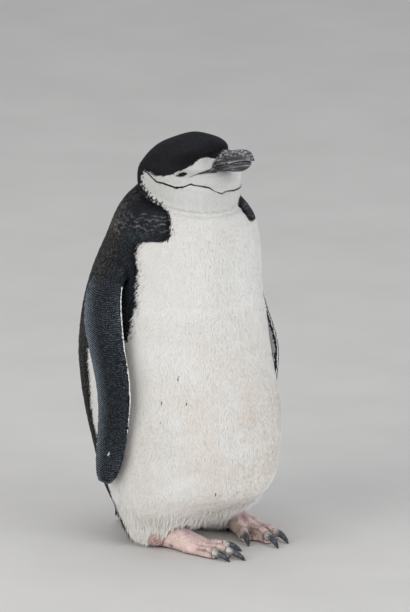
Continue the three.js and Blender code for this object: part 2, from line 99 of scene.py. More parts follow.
def headPoint(forward, left, up):  # the same, turned with the head
    turned = headTurn @ Vector((left, -forward, up))
    return Vector((axisX + turned.x, axisY + turned.y, turned.z))


def azimuths(points):  # degrees from straight ahead, positive round the bird's right side
    return np.degrees(np.arctan2(axisX - points[:, 0], axisY - points[:, 1]))


def aboveFold(points):  # how far each point is above the fold under the face
    forward = axisY - points[:, 1]
    return points[:, 2] - (foldSettings["height"] - foldSettings["slope"] * forward)


# Camera, light and floor.
cameraSettings = {
    "azimuth": -43.0, "elevation": 15.0, "distance": 18.0, "towards": 0.06, "sensor": 36.0, "reach": 80,
    "imageWidth": 410, "imageHeight": 612, "metresPerPixel": 0.00103, "axisFoot": (188, 536),
}


def makeCamera():
    s = cameraSettings
    back = towards(s["azimuth"], s["elevation"])
    right = Vector((0, 0, 1)).cross(back).normalized()
    up = back.cross(right)
    toRight = (s["imageWidth"] / 2 - s["axisFoot"][0]) * s["metresPerPixel"]
    toUp = (s["axisFoot"][1] - s["imageHeight"] / 2) * s["metresPerPixel"]
    target = Vector((axisX, axisY, 0)) + right * toRight + up * toUp
    data = bpy.data.cameras.new("camera")
    data.sensor_width = s["sensor"]
    data.lens = s["sensor"] * s["distance"] / (s["imageHeight"] * s["metresPerPixel"])
    data.clip_end = s["reach"]
    camera = added("camera", data)
    camera.location = target + back * (s["distance"] + s["towards"])  # true to scale at the bird's middle
    camera.rotation_euler = back.to_track_quat("Z", "Y").to_euler()
    bpy.context.scene.camera = camera
    bpy.context.scene.view_settings.view_transform = "Standard"


lightSettings = {
    "key": {"azimuth": -92, "elevation": 26, "distance": 2.6, "size": 2.6, "power": 37,
            "colour": (1, 0.985, 0.96)},
    "fill": {"azimuth": 8, "elevation": 7, "distance": 3.0, "size": 2.0, "power": 50,
             "colour": (0.97, 0.985, 1)},
    "top": {"azimuth": 150, "elevation": 74, "distance": 2.6, "size": 2.2, "power": 16,
            "colour": (0.96, 0.98, 1)},
    "aim": 0.22, "world": (0.82, 0.83, 0.85), "worldStrength": 0.55,
}


def makeLights():
    aim = birdPoint(0, 0, lightSettings["aim"])
    for name in ("key", "fill", "top"):
        s = lightSettings[name]
        back = towards(s["azimuth"], s["elevation"])
        data = bpy.data.lights.new(name, "AREA")
        data.shape = "DISK"
        data.size = s["size"]
        data.energy = s["power"]
        data.color = s["colour"]
        light = added(name, data)
        light.location = aim + back * s["distance"]
        light.rotation_euler = back.to_track_quat("Z", "Y").to_euler()
    world = bpy.data.worlds.new("studio")
    bpy.context.scene.world = world
    world.use_nodes = True
    background = world.node_tree.nodes["Background"]
    background.inputs["Color"].default_value = (*lightSettings["world"], 1)
    background.inputs["Strength"].default_value = lightSettings["worldStrength"]


# What the materials are put together from.
def newMaterial(name, **sockets):
    material = bpy.data.materials.new(name)
    material.use_nodes = True
    shader = material.node_tree.nodes["Principled BSDF"]
    for socket, value in sockets.items():
        shader.inputs[socket.replace("_", " ")].default_value = value
    return material, material.node_tree, shader


def addNode(tree, kind, **values):
    node = tree.nodes.new(kind)
    for key, value in values.items():
        if key in node.inputs:
            node.inputs[key].default_value = value
        else:
            setattr(node, key, value)
    return node


def objectNoise(tree, scale, detail=3.0, stretch=(1, 1, 1)):
    place = addNode(tree, "ShaderNodeTexCoord")
    mapping = addNode(tree, "ShaderNodeMapping")
    mapping.inputs["Scale"].default_value = stretch
    noise = addNode(tree, "ShaderNodeTexNoise", Scale=scale, Detail=detail)
    tree.links.new(place.outputs["Object"], mapping.inputs["Vector"])
    tree.links.new(mapping.outputs["Vector"], noise.inputs["Vector"])
    return noise.outputs["Fac"]


def mixColours(tree, blend, factor, first, second):
    mix = tree.nodes.new("ShaderNodeMix")
    mix.data_type = "RGBA"
    mix.blend_type = blend
    for socket, value in ((mix.inputs["Factor"], factor), (mix.inputs[6], first), (mix.inputs[7], second)):
        if isinstance(value, bpy.types.NodeSocket):
            tree.links.new(value, socket)
        elif isinstance(value, tuple):
            socket.default_value = (*value, 1)
        else:
            socket.default_value = value
    return mix.outputs[2]


def ramp(tree, value, stops):
    node = tree.nodes.new("ShaderNodeValToRGB")
    elements = node.color_ramp.elements
    while len(elements) < len(stops):
        elements.new(0.5)
    for element, (position, colour) in zip(elements, stops):
        element.position = position
        element.color = (*colour, 1)
    tree.links.new(value, node.inputs["Fac"])
    return node.outputs["Color"]


def tinted(tree, shader, *shades):  # the mesh's own colour, multiplied by each shade in turn
    colour = addNode(tree, "ShaderNodeAttribute", attribute_name="tint").outputs["Color"]
    for factor, shade in shades:
        colour = mixColours(tree, "MULTIPLY", factor, colour, shade)
    tree.links.new(colour, shader.inputs["Base Color"])


def addBump(tree, shader, height, strength, distance):
    bump = addNode(tree, "ShaderNodeBump", Strength=strength, Distance=distance)
    tree.links.new(height, bump.inputs["Height"])
    tree.links.new(bump.outputs["Normal"], shader.inputs["Normal"])


# Plumage: the colour comes from each tuft, with fine barring of light and shade over it.
def featherMaterial(name, roughness, sheen, gloss, deep):
    material, tree, shader = newMaterial(
        name, Roughness=roughness, Sheen_Weight=sheen, Specular_IOR_Level=gloss)
    fine = objectNoise(tree, 420, 2.0)
    shade = ramp(tree, fine, [(0.3, (1 - deep,) * 3), (0.7, (1, 1, 1))])
    drift = ramp(tree, objectNoise(tree, 26), [(0.35, (0.965, 0.96, 0.95)), (0.65, (1, 1, 1))])
    tinted(tree, shader, (1.0, shade), (1.0, drift))
    addBump(tree, shader, fine, 0.25, 0.0004)
    return material


floorSettings = {
    "radius": 6.0, "corners": 96, "colour": (0.66, 0.65, 0.635), "mottle": 0.94, "roughness": 0.85,
}


def makeFloor():
    s = floorSettings
    bm = bmesh.new()
    bmesh.ops.create_circle(bm, cap_ends=True, segments=s["corners"], radius=s["radius"])
    floor = added("floor", meshFrom(bm, "floor"))
    material, tree, shader = newMaterial("studioFloor", Roughness=s["roughness"])
    dark = tuple(s["mottle"] * c for c in s["colour"])
    colour = ramp(tree, objectNoise(tree, 9, 4.0), [(0.3, dark), (0.7, s["colour"])])
    tree.links.new(colour, shader.inputs["Base Color"])
    floor.data.materials.append(material)


# Markings, shared by the skin and the coat.
def linear(red, green, blue):  # a display colour, 0 to 255, as the renderer's own
    values = np.array([red, green, blue]) / 255
    return np.where(values <= 0.04045, values / 12.92, ((values + 0.055) / 1.055) ** 2.4)


plumage = {
    # the throat's white is greyer than the body's: painted shade under the bill and chin
    "white": linear(239, 238, 235), "throat": linear(219, 219, 217), "warm": linear(226, 214, 202),
    "back": linear(20, 23, 29), "brown": linear(28, 25, 24), "cap": linear(14, 14, 18),
    "brownTip": linear(124, 113, 104), "greyTip": linear(130, 134, 144), "blueTip": linear(84, 98, 112),
    "flipper": linear(19, 26, 33), "flipperTip": linear(148, 162, 176), "under": linear(222, 224, 223),
}

# Where black gives way to white, as azimuth at each height. Both sides are alike below the shoulder.
lowEdge = [
    (0.000, 106), (0.014, 106), (0.039, 122), (0.052, 116), (0.061, 117), (0.107, 116), (0.125, 120),
    (0.160, 121), (0.203, 124), (0.213, 106), (0.222, 88), (0.258, 85),
]
blackEdge = {
    "right": lowEdge + [
        (0.298, 85), (0.312, 88), (0.320, 87), (0.326, 84), (0.329, 74), (0.3305, 60), (0.336, 58),
        (0.353, 60), (0.3595, 66), (0.364, 74), (0.367, 84), (0.370, 97), (0.375, 107), (0.3795, 112),
        (0.3905, 118),
    ],
    "left": lowEdge + [
        (0.298, 84), (0.320, 82), (0.330, 74), (0.336, 50), (0.3385, 32), (0.3495, 29), (0.359, 27),
        (0.3655, 32), (0.369, 66), (0.373, 96), (0.3795, 111), (0.3905, 118),
    ],
}
# The cap's lower edge, as height at each azimuth from the way the head faces, the same on both sides.
capEdge = [
    (0, 0.4172), (5, 0.4168), (8, 0.4147), (12, 0.4128), (22, 0.4137), (29, 0.4132), (34, 0.4100),
    (41, 0.4054), (51, 0.4013), (60, 0.3987), (70, 0.3948), (77, 0.3932), (85, 0.3919), (93, 0.3912),
    (100, 0.3915), (111, 0.3929), (117, 0.3932), (120, 0.386), (123, 0.36),
]
# The strap under the face, as height at each azimuth from the left side round to the right.
strapLine = [
    (-122, 0.3935), (-105, 0.3931), (-96, 0.3907), (-85, 0.3869), (-77, 0.3860), (-69, 0.3838), (-60, 0.3796),
    (-50, 0.3766), (-40, 0.3757), (-30, 0.3758), (-20, 0.3762), (-11, 0.3769), (-1, 0.3784), (6, 0.3768),
    (15, 0.3808), (22, 0.3853), (29, 0.3869), (40, 0.3881), (49, 0.3849), (58, 0.3840), (69, 0.3859),
    (77, 0.3867), (85, 0.3869), (96, 0.3907), (105, 0.3931), (118, 0.3936),
]
strapHalf = [  # half the strap's width
    (-60, 0.0004), (-40, 0.0005), (-20, 0.0007), (-10, 0.0010), (0, 0.0009), (6, 0.0007), (15, 0.00075),
    (25, 0.0007), (35, 0.00055), (45, 0.0008), (58, 0.0010), (69, 0.0008), (80, 0.0008), (90, 0.0005),
    (105, 0.00045), (118, 0.0004),
]
markSettings = {  # heights from which to which the black's edge changes, and the sizes of patches and specks
    "shoulder": (0.325, 0.34), "nape": (0.354, 0.366), "collar": (0.368, 0.376), "blackTop": 0.4,
    "patch": 0.012, "fleck": 0.0048, "capPatch": 0.006, "strapEnd": 122, "strapShare": 0.75,
    "speck": 0.0009, "speckTurn": 0.0016,  # metres round the body for each degree
    "specks": [(50, 0.1885), (47.5, 0.186), (44, 0.164), (60.5, 0.163), (60.5, 0.143), (25, 0.066)],
}
stainSettings = {  # a warm stain low in front, painted light at the very bottom where the belly faces down, painted shade on the white above the fold, and brown in the black
    "warmth": 0.62, "top": 0.27, "fade": 0.12, "round": 120, "bottomLight": 0.06, "bottomLightFrom": (0.03, 0.17),
    "throat": 0.97, "brown": 0.6, "brownTop": 0.3, "brownBack": (128, 153), "specksBelow": 0.2,
    "specksRound": 95,
}


def curve(pairs, values):  # a line through pairs of numbers, read off at the values
    table = np.array(pairs)
    return np.interp(values, table[:, 0], table[:, 1])


def ripple(points, size, phase=0.0):  # a smooth pattern between -1 and 1, about size metres across
    p = points * (2 * math.pi / size)
    a = np.sin(p[:, 0] + 1.7 * np.sin(0.61 * p[:, 2] + phase) + phase)
    b = np.sin(p[:, 1] * 0.87 + 1.3 * np.sin(0.53 * p[:, 0] + 2 * phase) + 2.1)
    c = np.sin(p[:, 2] * 1.13 + 1.9 * np.sin(0.47 * p[:, 1] + 3 * phase) + 4.2)
    return (a + b + c) / 3


def ripples(points, waves):  # several such patterns together, each as its weight, size and phase
    return sum(weight * ripple(points, size, phase) for weight, size, phase in waves)


def edgeMargin(points):  # how far each point is inside the black, in degrees round the body
    azimuth, height = azimuths(points), points[:, 2]
    limit = np.where(azimuth >= 0, curve(blackEdge["right"], height), curve(blackEdge["left"], height))
    return np.abs(azimuth) - limit


def markings(points, rng):  # black, cap and strap at each point, as three masks
    s = markSettings
    azimuth, height, above = azimuths(points), points[:, 2], aboveFold(points) > 0
    ragged = rng.normal(0, 1, len(points))
    upper = smoothStep(height, *s["shoulder"])  # the edge is straighter across the shoulder and the neck
    nape = smoothStep(height, *s["nape"])  # and flecked across the side of the neck
    wander = (1.1 - 0.2 * upper + 0.5 * nape) * ragged + (1.0 - 0.5 * upper) * ripple(points, s["patch"])
    wander += (4.0 * nape + 7.0 * smoothStep(height, *s["collar"])) * ripple(points, s["fleck"], 5.0)
    black = (edgeMargin(points) + wander > 0) & (height < s["blackTop"])
    facing = np.abs(azimuth + axisSettings["headTurn"])
    wander = 0.0004 * ragged + 0.0005 * ripple(points, s["capPatch"])
    cap = (height + wander > curve(capEdge, facing)) & above
    offset = np.abs(height - curve(strapLine, azimuth) + 0.3 * wander)
    strap = (offset < s["strapShare"] * curve(strapHalf, azimuth)) & above & (facing < s["strapEnd"])
    for at, level in s["specks"]:
        black |= ((azimuth - at) * s["speckTurn"]) ** 2 + (height - level) ** 2 < s["speck"] ** 2
    return black, cap, strap


def plumageColours(points, rng, lined=False):  # the strap's line is drawn on the skin and by its own feathers
    s = stainSettings
    black, cap, strap = markings(points, rng)
    strap &= lined
    height, around = points[:, 2], np.abs(azimuths(points))
    stain = np.clip(0.5 + 0.6 * ripple(points, 0.07) + 0.35 * ripple(points, 0.024, 1.0), 0, 1)
    low = np.clip((s["top"] - height) / s["fade"], 0, 1) * np.clip(1 - around / s["round"], 0, 1)
    colours = mixed(plumage["white"], plumage["warm"], (s["warmth"] * stain * low)[:, None])
    # painted light: the white is made lighter towards the very bottom, where the belly faces down
    colours = colours * (1 + s["bottomLight"] * (1 - smoothStep(height, *s["bottomLightFrom"])))[:, None]
    # painted shade: above the fold the white takes the greyer throat colour, a little darker still
    colours = np.where(aboveFold(points)[:, None] > 0, plumage["throat"] * s["throat"], colours)
    start, full = s["brownBack"]
    brown = np.clip(0.5 + 0.9 * ripple(points, 0.05, 2.0), 0, 1) * (height > s["brownTop"])
    brown = s["brown"] * np.maximum(brown, np.clip((around - start) / (full - start), 0, 1))[:, None]
    colours = np.where(black[:, None], mixed(plumage["back"], plumage["brown"], brown), colours)
    colours = np.where((cap | strap)[:, None], plumage["cap"], colours)
    specks = (height < s["specksBelow"]) & (around < s["specksRound"])  # they keep to the white coat
    return colours, (black & ~specks) | cap | strap


# The flippers: slate outside, pale underneath, with white along both edges.
flipperMarks = {
    "inside": [(0.06, 0.093), (0.092, 0.0946), (0.133, 0.0979), (0.16, 0.0976), (0.19, 0.0966),
               (0.225, 0.0948), (0.25, 0.0923), (0.275, 0.0882), (0.285, 0.087)],
    "top": 0.285, "leadingTop": 0.281, "leadingBottom": 0.125, "trailingTop": 0.262, "trailingBottom": 0.080,
    "under": 0.90, "underBottom": 0.098, "speck": (0.10, 0.1035), "speckHalf": (0.055, 0.0013),
    "shoulder": (0.255, 0.288), "rearShade": (0.1, 0.8), "rearGlint": (0.1, 0.9), "glintAbove": (0.20, 0.25),
    "glintBelow": (0.08, 0.14), "inwards": -0.2, "blotch": 0.026, "blotchTo": 0.38,
    "outline": {"voxel": 0.0016, "rounds": 2, "step": 0.003, "band": 0.0022},
}


def flipperOutline(name):  # the flipper's front, back, left and right at a row of heights
    s = flipperMarks["outline"]
    place = vertexArrays(remeshed((name,), s["voxel"], s["rounds"]))[0]
    rows = []
    for level in np.arange(place[:, 2].min() + 0.001, flipperMarks["top"] + 2 * s["step"], s["step"]):
        band = place[np.abs(place[:, 2] - level) < s["band"]]
        rows.append((level, band[:, 1].min(), band[:, 1].max(), band[:, 0].min(), band[:, 0].max()))
    return np.array(rows)


def flipperShare(points, outline):  # 1 at the leading edge, -1 at the trailing edge
    front = np.interp(points[:, 2], outline[:, 0], outline[:, 1])
    back = np.interp(points[:, 2], outline[:, 0], outline[:, 2])
    return ((front + back) / 2 - points[:, 1]) / np.maximum((back - front) / 2, 0.001)


def onFlipper(points):
    outside = np.abs(points[:, 0] - axisX)
    return (outside > curve(flipperMarks["inside"], points[:, 2])) & (points[:, 2] < flipperMarks["top"])


def flipperColours(points, normals, outlines, rng):  # at the roots and at the tips
    s = flipperMarks
    side = np.sign(points[:, 0] - axisX)
    share = np.where(side < 0, flipperShare(points, outlines[-1]), flipperShare(points, outlines[1]))
    height = points[:, 2]
    chance = rng.normal(0, 1, len(points)).clip(-2, 2)
    shoulder = smoothStep(height, *s["shoulder"])[:, None]
    slate = mixed(plumage["flipper"] * (1 + 0.09 * chance[:, None]), plumage["back"], shoulder)
    slate = slate * (1 - 0.35 * smoothStep(-share, *s["rearShade"]))[:, None]
    glint = 0.22 + 0.16 * chance + 0.18 * smoothStep(height, *s["glintAbove"])
    glint += 0.25 * (1 - smoothStep(height, *s["glintBelow"]))
    glint = (glint + 1.3 * smoothStep(-share, *s["rearGlint"])).clip(0, 1.6)[:, None] * (1 - 0.6 * shoulder)
    inner = (normals[:, 0] * side < s["inwards"]) & (np.abs(share) < s["under"]) & (height > s["underBottom"])
    under = inner & (ripple(points, s["blotch"], 7.0) + 0.12 * chance < s["blotchTo"])
    (middle, level), (wide, tall) = s["speck"], s["speckHalf"]
    speck = (np.abs(share - middle) < wide) & (np.abs(height - level) < tall) & (side < 0)
    pale = (under | speck)[:, None]
    tipColours = slate + (plumage["flipperTip"] - slate) * glint
    return np.where(pale, plumage["under"], slate), np.where(pale, plumage["under"], tipColours)


# Meshes from the frame's nodes, and what every piece needs.
def nodeMesh(*names):  # one mesh of CAD nodes, with their doubled corners merged
    bm = bmesh.new()
    for name in names:
        bm.from_mesh(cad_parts[name].data)
    bmesh.ops.remove_doubles(bm, verts=bm.verts, dist=1e-6)
    return meshFrom(bm, "copy")


def applied(obj):  # the object's mesh with its modifiers applied, and the object removed
    graph = bpy.context.evaluated_depsgraph_get()
    mesh = bpy.data.meshes.new_from_object(obj.evaluated_get(graph))
    bpy.data.objects.remove(obj)
    return mesh


def remeshed(names, voxel, rounds):  # CAD nodes as one even mesh, smoothed
    copy = added("copy", nodeMesh(*names))
    remesh = copy.modifiers.new("remesh", "REMESH")
    remesh.mode = "VOXEL"
    remesh.voxel_size = voxel
    smooth = copy.modifiers.new("smooth", "SMOOTH")
    smooth.iterations = rounds
    return applied(copy)


def faceArrays(mesh):  # middle and normal of every face
    count = len(mesh.polygons)
    centre, normal = np.empty(count * 3), np.empty(count * 3)
    mesh.polygons.foreach_get("center", centre)
    mesh.polygons.foreach_get("normal", normal)
    return centre.reshape(-1, 3), normal.reshape(-1, 3)


def vertexArrays(mesh):
    count = len(mesh.vertices)
    place, normal = np.empty(count * 3), np.empty(count * 3)
    mesh.vertices.foreach_get("co", place)
    mesh.vertex_normals.foreach_get("vector", normal)
    return place.reshape(-1, 3), normal.reshape(-1, 3)


def reshape(mesh, places):
    mesh.vertices.foreach_set("co", places.ravel())
    mesh.update()


def unit(vectors):
    return vectors / np.maximum(np.linalg.norm(vectors, axis=1, keepdims=True), 1e-12)


def paint(mesh, colours):
    attribute = mesh.attributes.new("tint", "FLOAT_COLOR", "POINT")
    values = np.ones((len(mesh.vertices), 4), np.float32)
    values[:, :3] = colours
    attribute.data.foreach_set("color", values.ravel())


def finishPiece(mesh, name, material, smooth=True):
    mesh.name = name
    piece = added(name, mesh)
    mesh.materials.clear()
    mesh.materials.append(material)
    mesh.polygons.foreach_set("use_smooth", [smooth] * len(mesh.polygons))
    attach(piece, "root")
    return piece


def nearestDistance(tree, points):
    return np.array([tree.find_nearest(Vector(p))[3] for p in points])


# Tufts and vanes: closed blades of a few rings between a root and a tip.
def bladeTriangles(stations, sides):
    triangles = [(0, 1 + (k + 1) % sides, 1 + k) for k in range(sides)]
    for ring in range(stations - 1):
        for k in range(sides):
            a, b = 1 + ring * sides + k, 1 + ring * sides + (k + 1) % sides
            triangles += [(a, b, b + sides), (a, b + sides, a + sides)]
    last, tip = 1 + (stations - 1) * sides, 1 + stations * sides
    triangles += [(tip, last + k, last + (k + 1) % sides) for k in range(sides)]
    return np.array(triangles)


bladeSettings = {"patch": 0.003, "overFloor": 0.0004, "uneven": 0.15}


def bladeMesh(roots, rings, tips, rootColours, tipColours, places, patch, shades=None):
    # rings is blades x stations x sides x 3, each ring turning the same way round; places are on the bake map
    count, stations, sides = rings.shape[:3]
    size = 2 + stations * sides
    points = np.concatenate([roots[:, None], rings.reshape(count, -1, 3), tips[:, None]], 1)
    points[:, :, 2] = np.maximum(points[:, :, 2], bladeSettings["overFloor"])
    one = bladeTriangles(stations, sides)
    triangles = (one[None] + size * np.arange(count)[:, None, None]).reshape(-1)
    mesh = bpy.data.meshes.new("blades")
    mesh.vertices.add(count * size)
    mesh.vertices.foreach_set("co", points.astype(np.float32).ravel())
    mesh.loops.add(len(triangles))
    mesh.loops.foreach_set("vertex_index", triangles.astype(np.int32))
    mesh.polygons.add(len(triangles) // 3)
    mesh.polygons.foreach_set("loop_start", np.arange(0, len(triangles), 3, dtype=np.int32))
    mesh.update(calc_edges=True)
    along = np.concatenate([[0.0], np.repeat((np.arange(stations) + 1) / (stations + 1), sides), [1.0]])
    across = np.concatenate([[0.0], np.tile(np.linspace(-1, 1, sides), stations), [0.0]])
    share = along ** 2 if shades is None else np.concatenate([[0.0], np.repeat(shades, sides), [1.0]])
    share = share[None, :, None]  # how much of the tip's colour
    paint(mesh, (rootColours[:, None] * (1 - share) + tipColours[:, None] * share).reshape(-1, 3))
    local = np.stack([0.5 * across, along - 0.5], 1) * patch
    corners = (places[:, None] + local[None]).reshape(-1, 2)[triangles]
    layer = mesh.uv_layers.new(name="OFBake")
    layer.data.foreach_set("uv", corners.astype(np.float32).ravel())
    return mesh


def settle(tree, points):  # the nearest place on a surface, and its normal, for each point
    places, normals = np.empty_like(points), np.empty_like(points)
    for i, point in enumerate(points):
        hit = tree.find_nearest(Vector(point))
        places[i], normals[i] = hit[0], hit[1]
    return places, normals


def surfaceTree(mesh):
    bm = bmesh.new()
    bm.from_mesh(mesh)
    tree = BVHTree.FromBMesh(bm)
    bm.free()
    return tree


def alongSurface(lies, normals, rng, fray):  # lies laid into the surface, each turned a little by chance
    flat = unit(lies - normals * np.sum(lies * normals, 1, keepdims=True))
    across = np.cross(normals, flat)
    turn = np.radians(rng.normal(0, 1, len(flat)) * fray)[:, None]
    return flat * np.cos(turn) + across * np.sin(turn)


def spread(values):  # to 0..1, keeping clear of the map's rim
    low, high = values.min(), values.max()
    return 0.01 + 0.98 * (values - low) / max(high - low, 1e-9)


def unwrapped(points, lean):  # the skin rolled out: round its axis, and up it with some of the radius
    radius = np.hypot(points[:, 0] - axisX, points[:, 1] - axisY)
    return np.stack([spread(azimuths(points)), spread(points[:, 2] + lean * radius)], 1)


def growTufts(tufts, tree, s, rng, lean=0.0):
    # tufts is tips, normals, lies, depths, root colours and tip colours: every tuft ends at its tip on the
    # coat's outside, and is rooted in the skin a depth below it
    tips, normals, lies, depth, rootColours, tipColours = tufts
    count = len(tips)
    length = s["length"] * (1 + s["uneven"] * rng.normal(0, 1, count).clip(-2, 2))[:, None]
    if "scale" in s:
        length = length * s["scale"][:, None]
    lies = alongSurface(lies, normals, rng, s["fray"])
    tips = tips + normals * (s["lift"] + s["ruffle"] * rng.normal(0, 1, count).clip(-2, 3))[:, None]
    roots, rootNormals = settle(tree, tips - lies * length)
    depth = np.broadcast_to(depth, (count,))[:, None]
    roots = roots - rootNormals * depth
    along = unit(tips - roots)
    across = unit(np.cross(along, normals))
    up = np.cross(across, along)
    width = s["width"] * (1 + bladeSettings["uneven"] * rng.normal(0, 1, count).clip(-2, 2))[:, None] / 2
    if "slim" in s:
        width = width * s["slim"][:, None]
    rings, shades = [], []
    for share, wide, bow, shade in s["rings"]:
        middle = roots + (tips - roots) * share + up * (bow * depth)
        beside = across * width * wide
        rings.append(np.stack([middle - beside, middle + up * (s["thick"] / 2), middle + beside], 1))
        shades.append(shade)
    rings, places, patch = np.stack(rings, 1), unwrapped(tips, lean), bladeSettings["patch"]
    return bladeMesh(roots, rings, tips, rootColours, tipColours, places, patch, shades)


def coatPiece(name, mesh, materials, slot):
    finishPiece(mesh, name, materials[slot], smooth=False)
    print("penguin:", name, len(mesh.polygons), "triangles")


def chosenOf(tufts, chosen):  # those of the tufts that belong to one piece
    return [values[chosen] if np.ndim(values) else values for values in tufts]


# The skin under the feathers.
skinSettings = {
    "voxel": 0.0019, "rounds": 5, "sunk": 0.0003, "socket": 0.0045, "socketRim": 0.0006,
    "socketFade": (-1.6, -0.7), "fleshPatch": 0.0035, "shade": 0.85,
}
depthSettings = {  # how deep the coat is, and from where to where each depth comes in
    "body": 0.0030, "head": 0.0017, "face": 0.0011, "flipper": 0.0005, "leg": 0.0035, "heel": 0.0009,
    "crownFrom": (0.412, 0.426), "faceFrom": (0.0, 0.035), "foldFrom": (-0.012, 0.006),
    "legFrom": (-0.045, -0.012), "bladeFrom": (-0.001, 0.001), "bladeTop": (0.262, 0.29),
}
heelSettings = {
    "middle": 0.001, "long": 0.0115, "tall": 0.0165, "ragged": 0.10, "patch": 0.005, "fade": (0.85, 1.1),
    "inner": 0.003,
}
eyeSettings = {
    "ball": 0.0060, "lidCover": 0.0012, "behind": 0.0009, "facing": 36.0, "rise": 9.0,
    "half": 0.0058, "open": 0.0016, "deep": 0.006,
}


def eyeFrame(side):  # middle of the slit on the lids, and its forward, up and outward ways
    s = eyeSettings
    low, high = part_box("eye_right" if side < 0 else "eye_left")
    turn = headTurn @ Matrix.Rotation(-side * math.radians(s["facing"]), 4, "Z")
    turn = turn @ Matrix.Rotation(-math.radians(s["rise"]), 4, "X")
    outward, forward = turn @ Vector((side, 0, 0)), turn @ Vector((0, -1, 0))
    middle = (low + high) / 2
    return {
        "ball": middle, "outward": outward, "forward": forward, "up": turn @ Vector((0, 0, 1)),
        "lid": middle + outward * (s["ball"] + s["lidCover"]) - forward * s["behind"],
    }


def nearSlit(points, grow=0.0):  # below 1 inside the eye's slit, as a flat lens that is grown by a distance
    nearest = np.full(len(points), 9.0)
    for side in (-1, 1):
        eye = eyeFrame(side)
        offset = points - np.array(eye["lid"])
        forward = offset @ np.array(eye["forward"]) / (eyeSettings["half"] + grow)
        up = offset @ np.array(eye["up"]) / (eyeSettings["open"] + grow)
        deep = offset @ np.array(eye["outward"]) / eyeSettings["deep"]
        nearest = np.minimum(nearest, forward ** 2 + up ** 2 + deep ** 4)
    return nearest


def heel(points):  # 1 on the bare outer side of each heel, 0 away from it
    s = heelSettings
    share = np.zeros(len(points))
    for side in ("right", "left"):
        ahead, inner, up = inFoot(points, side)
        far = np.hypot((ahead - s["middle"]) / s["long"], up / s["tall"])
        far += s["ragged"] * ripple(points, s["patch"])
        share = np.maximum(share, (1 - smoothStep(far, *s["fade"])) * smoothStep(-inner, 0.0, s["inner"]))
    return share


def coatDepth(points):
    s = depthSettings
    head = mixed(s["head"], s["face"], smoothStep(axisY - points[:, 1], *s["faceFrom"]))
    head = head + headCoat["crown"] * smoothStep(points[:, 2], *s["crownFrom"])
    depth = mixed(s["body"], head, smoothStep(aboveFold(points), *s["foldFrom"]))
    depth = mixed(depth, s["leg"], smoothStep(-points[:, 2], *s["legFrom"]))
    depth = mixed(depth, s["heel"], heel(points))
    outside = np.abs(points[:, 0] - axisX) - curve(flipperMarks["inside"], points[:, 2])
    onBlade = smoothStep(outside, *s["bladeFrom"]) * (1 - smoothStep(points[:, 2], *s["bladeTop"]))
    return mixed(depth, s["flipper"], onBlade)


skinNodes = ("torso", "neck", "head", "leg_right", "leg_left", "flipper_right", "flipper_left")


def makeSkin(material, outlines):
    s = skinSettings
    rng = np.random.default_rng(11)
    mesh = remeshed(skinNodes, s["voxel"], s["rounds"])
    place, normal = vertexArrays(mesh)
    colours = plumageColours(place, rng, True)[0]
    onWing = onFlipper(place)
    colours[onWing] = flipperColours(place[onWing], normal[onWing], outlines, rng)[0]
    rough = np.clip(0.5 + 0.9 * ripple(place, s["fleshPatch"], 2.0), 0, 1)[:, None]
    flesh = footSettings["red"] * (0.5 + 0.5 * rough) + footSettings["peach"] * 0.3 * rough
    colours = mixed(colours, flesh, heel(place)[:, None])
    socket = smoothStep(-nearSlit(place, s["socketRim"]), *s["socketFade"])  # a drop behind the lids
    depth = coatDepth(place) - s["sunk"] + s["socket"] * socket
    reshape(mesh, place - normal * depth[:, None])
    paint(mesh, colours * s["shade"])
    skin = finishPiece(mesh, "skin", material)
    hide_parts(*skinNodes)


# Feathers of the body. A ring is its share of the way to the tip, its width, its bow and its tip colour.
bodyCoat = {
    "seedVoxel": 0.00158, "rounds": 7, "fineVoxel": 0.00128, "fineRounds": 9, "jitter": 0.45, "lean": 0.6,
    "belowFold": 0.0006, "wingFrom": 0.078, "wingTop": 0.270, "wingGap": 0.0022, "legTop": 0.03,
    "footShare": 0.6, "upper": 0.20, "side": 95, "mantleLow": 0.329, "mantleTop": 0.358, "mantleEdge": 5,
    "fringe": 9, "guideVoxel": 0.004, "guideRounds": 2,
    "white": {"length": 0.0135, "width": 0.0024, "thick": 0.0003, "fray": 5, "lift": 0.0, "ruffle": 0.00006,
              "uneven": 0.2, "rings": ((0.5, 1.0, 0.16, 0.25),)},
    "black": {"length": 0.0095, "width": 0.0019, "thick": 0.0005, "fray": 9, "lift": 0.0, "ruffle": 0.00026,
              "uneven": 0.15, "rings": ((0.74, 1.0, 0.24, 0.0),)},
    "mantle": {"length": 0.0085, "width": 0.0034, "thick": 0.0004, "fray": 10, "lift": 0.0, "ruffle": 0.0002,
               "uneven": 0.15, "rings": ((0.7, 1.0, 0.24, 0.0), (0.88, 0.9, 0.18, 0.5))},
}
bodyNodes = (
    "torso", "neck", "leg_right", "leg_left", "foot_right", "foot_left", "flipper_right", "flipper_left",
)
lieSettings = {
    "breastFrom": (0.14, 0.24), "breastTo": (0.315, 0.35), "side": (0.7, 1.4), "outwards": 0.8, "under": 0.8,
    "sway": ((0.10, 0.06, 4.0), (0.07, 0.021, 5.0)),
}


def hanging(points):  # straight down from each point
    return np.tile([0.0, 0.0, -1.0], (len(points), 1))


def bodyLies(points, normals):  # down the body, outwards on the breast, backwards underneath
    s = lieSettings
    azimuth = np.radians(azimuths(points))
    backwards = np.stack([-np.cos(azimuth), np.sin(azimuth), np.zeros(len(points))], 1)
    backwards *= np.sign(azimuth)[:, None]
    breast = smoothStep(points[:, 2], *s["breastFrom"]) * (1 - smoothStep(points[:, 2], *s["breastTo"]))
    outwards = s["outwards"] * breast * (0.3 + 0.7 * smoothStep(np.abs(azimuth), *s["side"]))
    lies = hanging(points) + backwards * outwards[:, None]
    lies[:, 1] += s["under"] * np.clip(-normals[:, 2], 0, 1)
    return lies + backwards * ripples(points, s["sway"])[:, None]


def jittered(points, normals, spacing, rng):
    first = unit(np.cross(normals, np.array([[0.31, 0.22, 0.93]])))
    second = np.cross(normals, first)
    a, b = rng.uniform(-1, 1, (2, len(points), 1)) * spacing
    return points + first * a + second * b


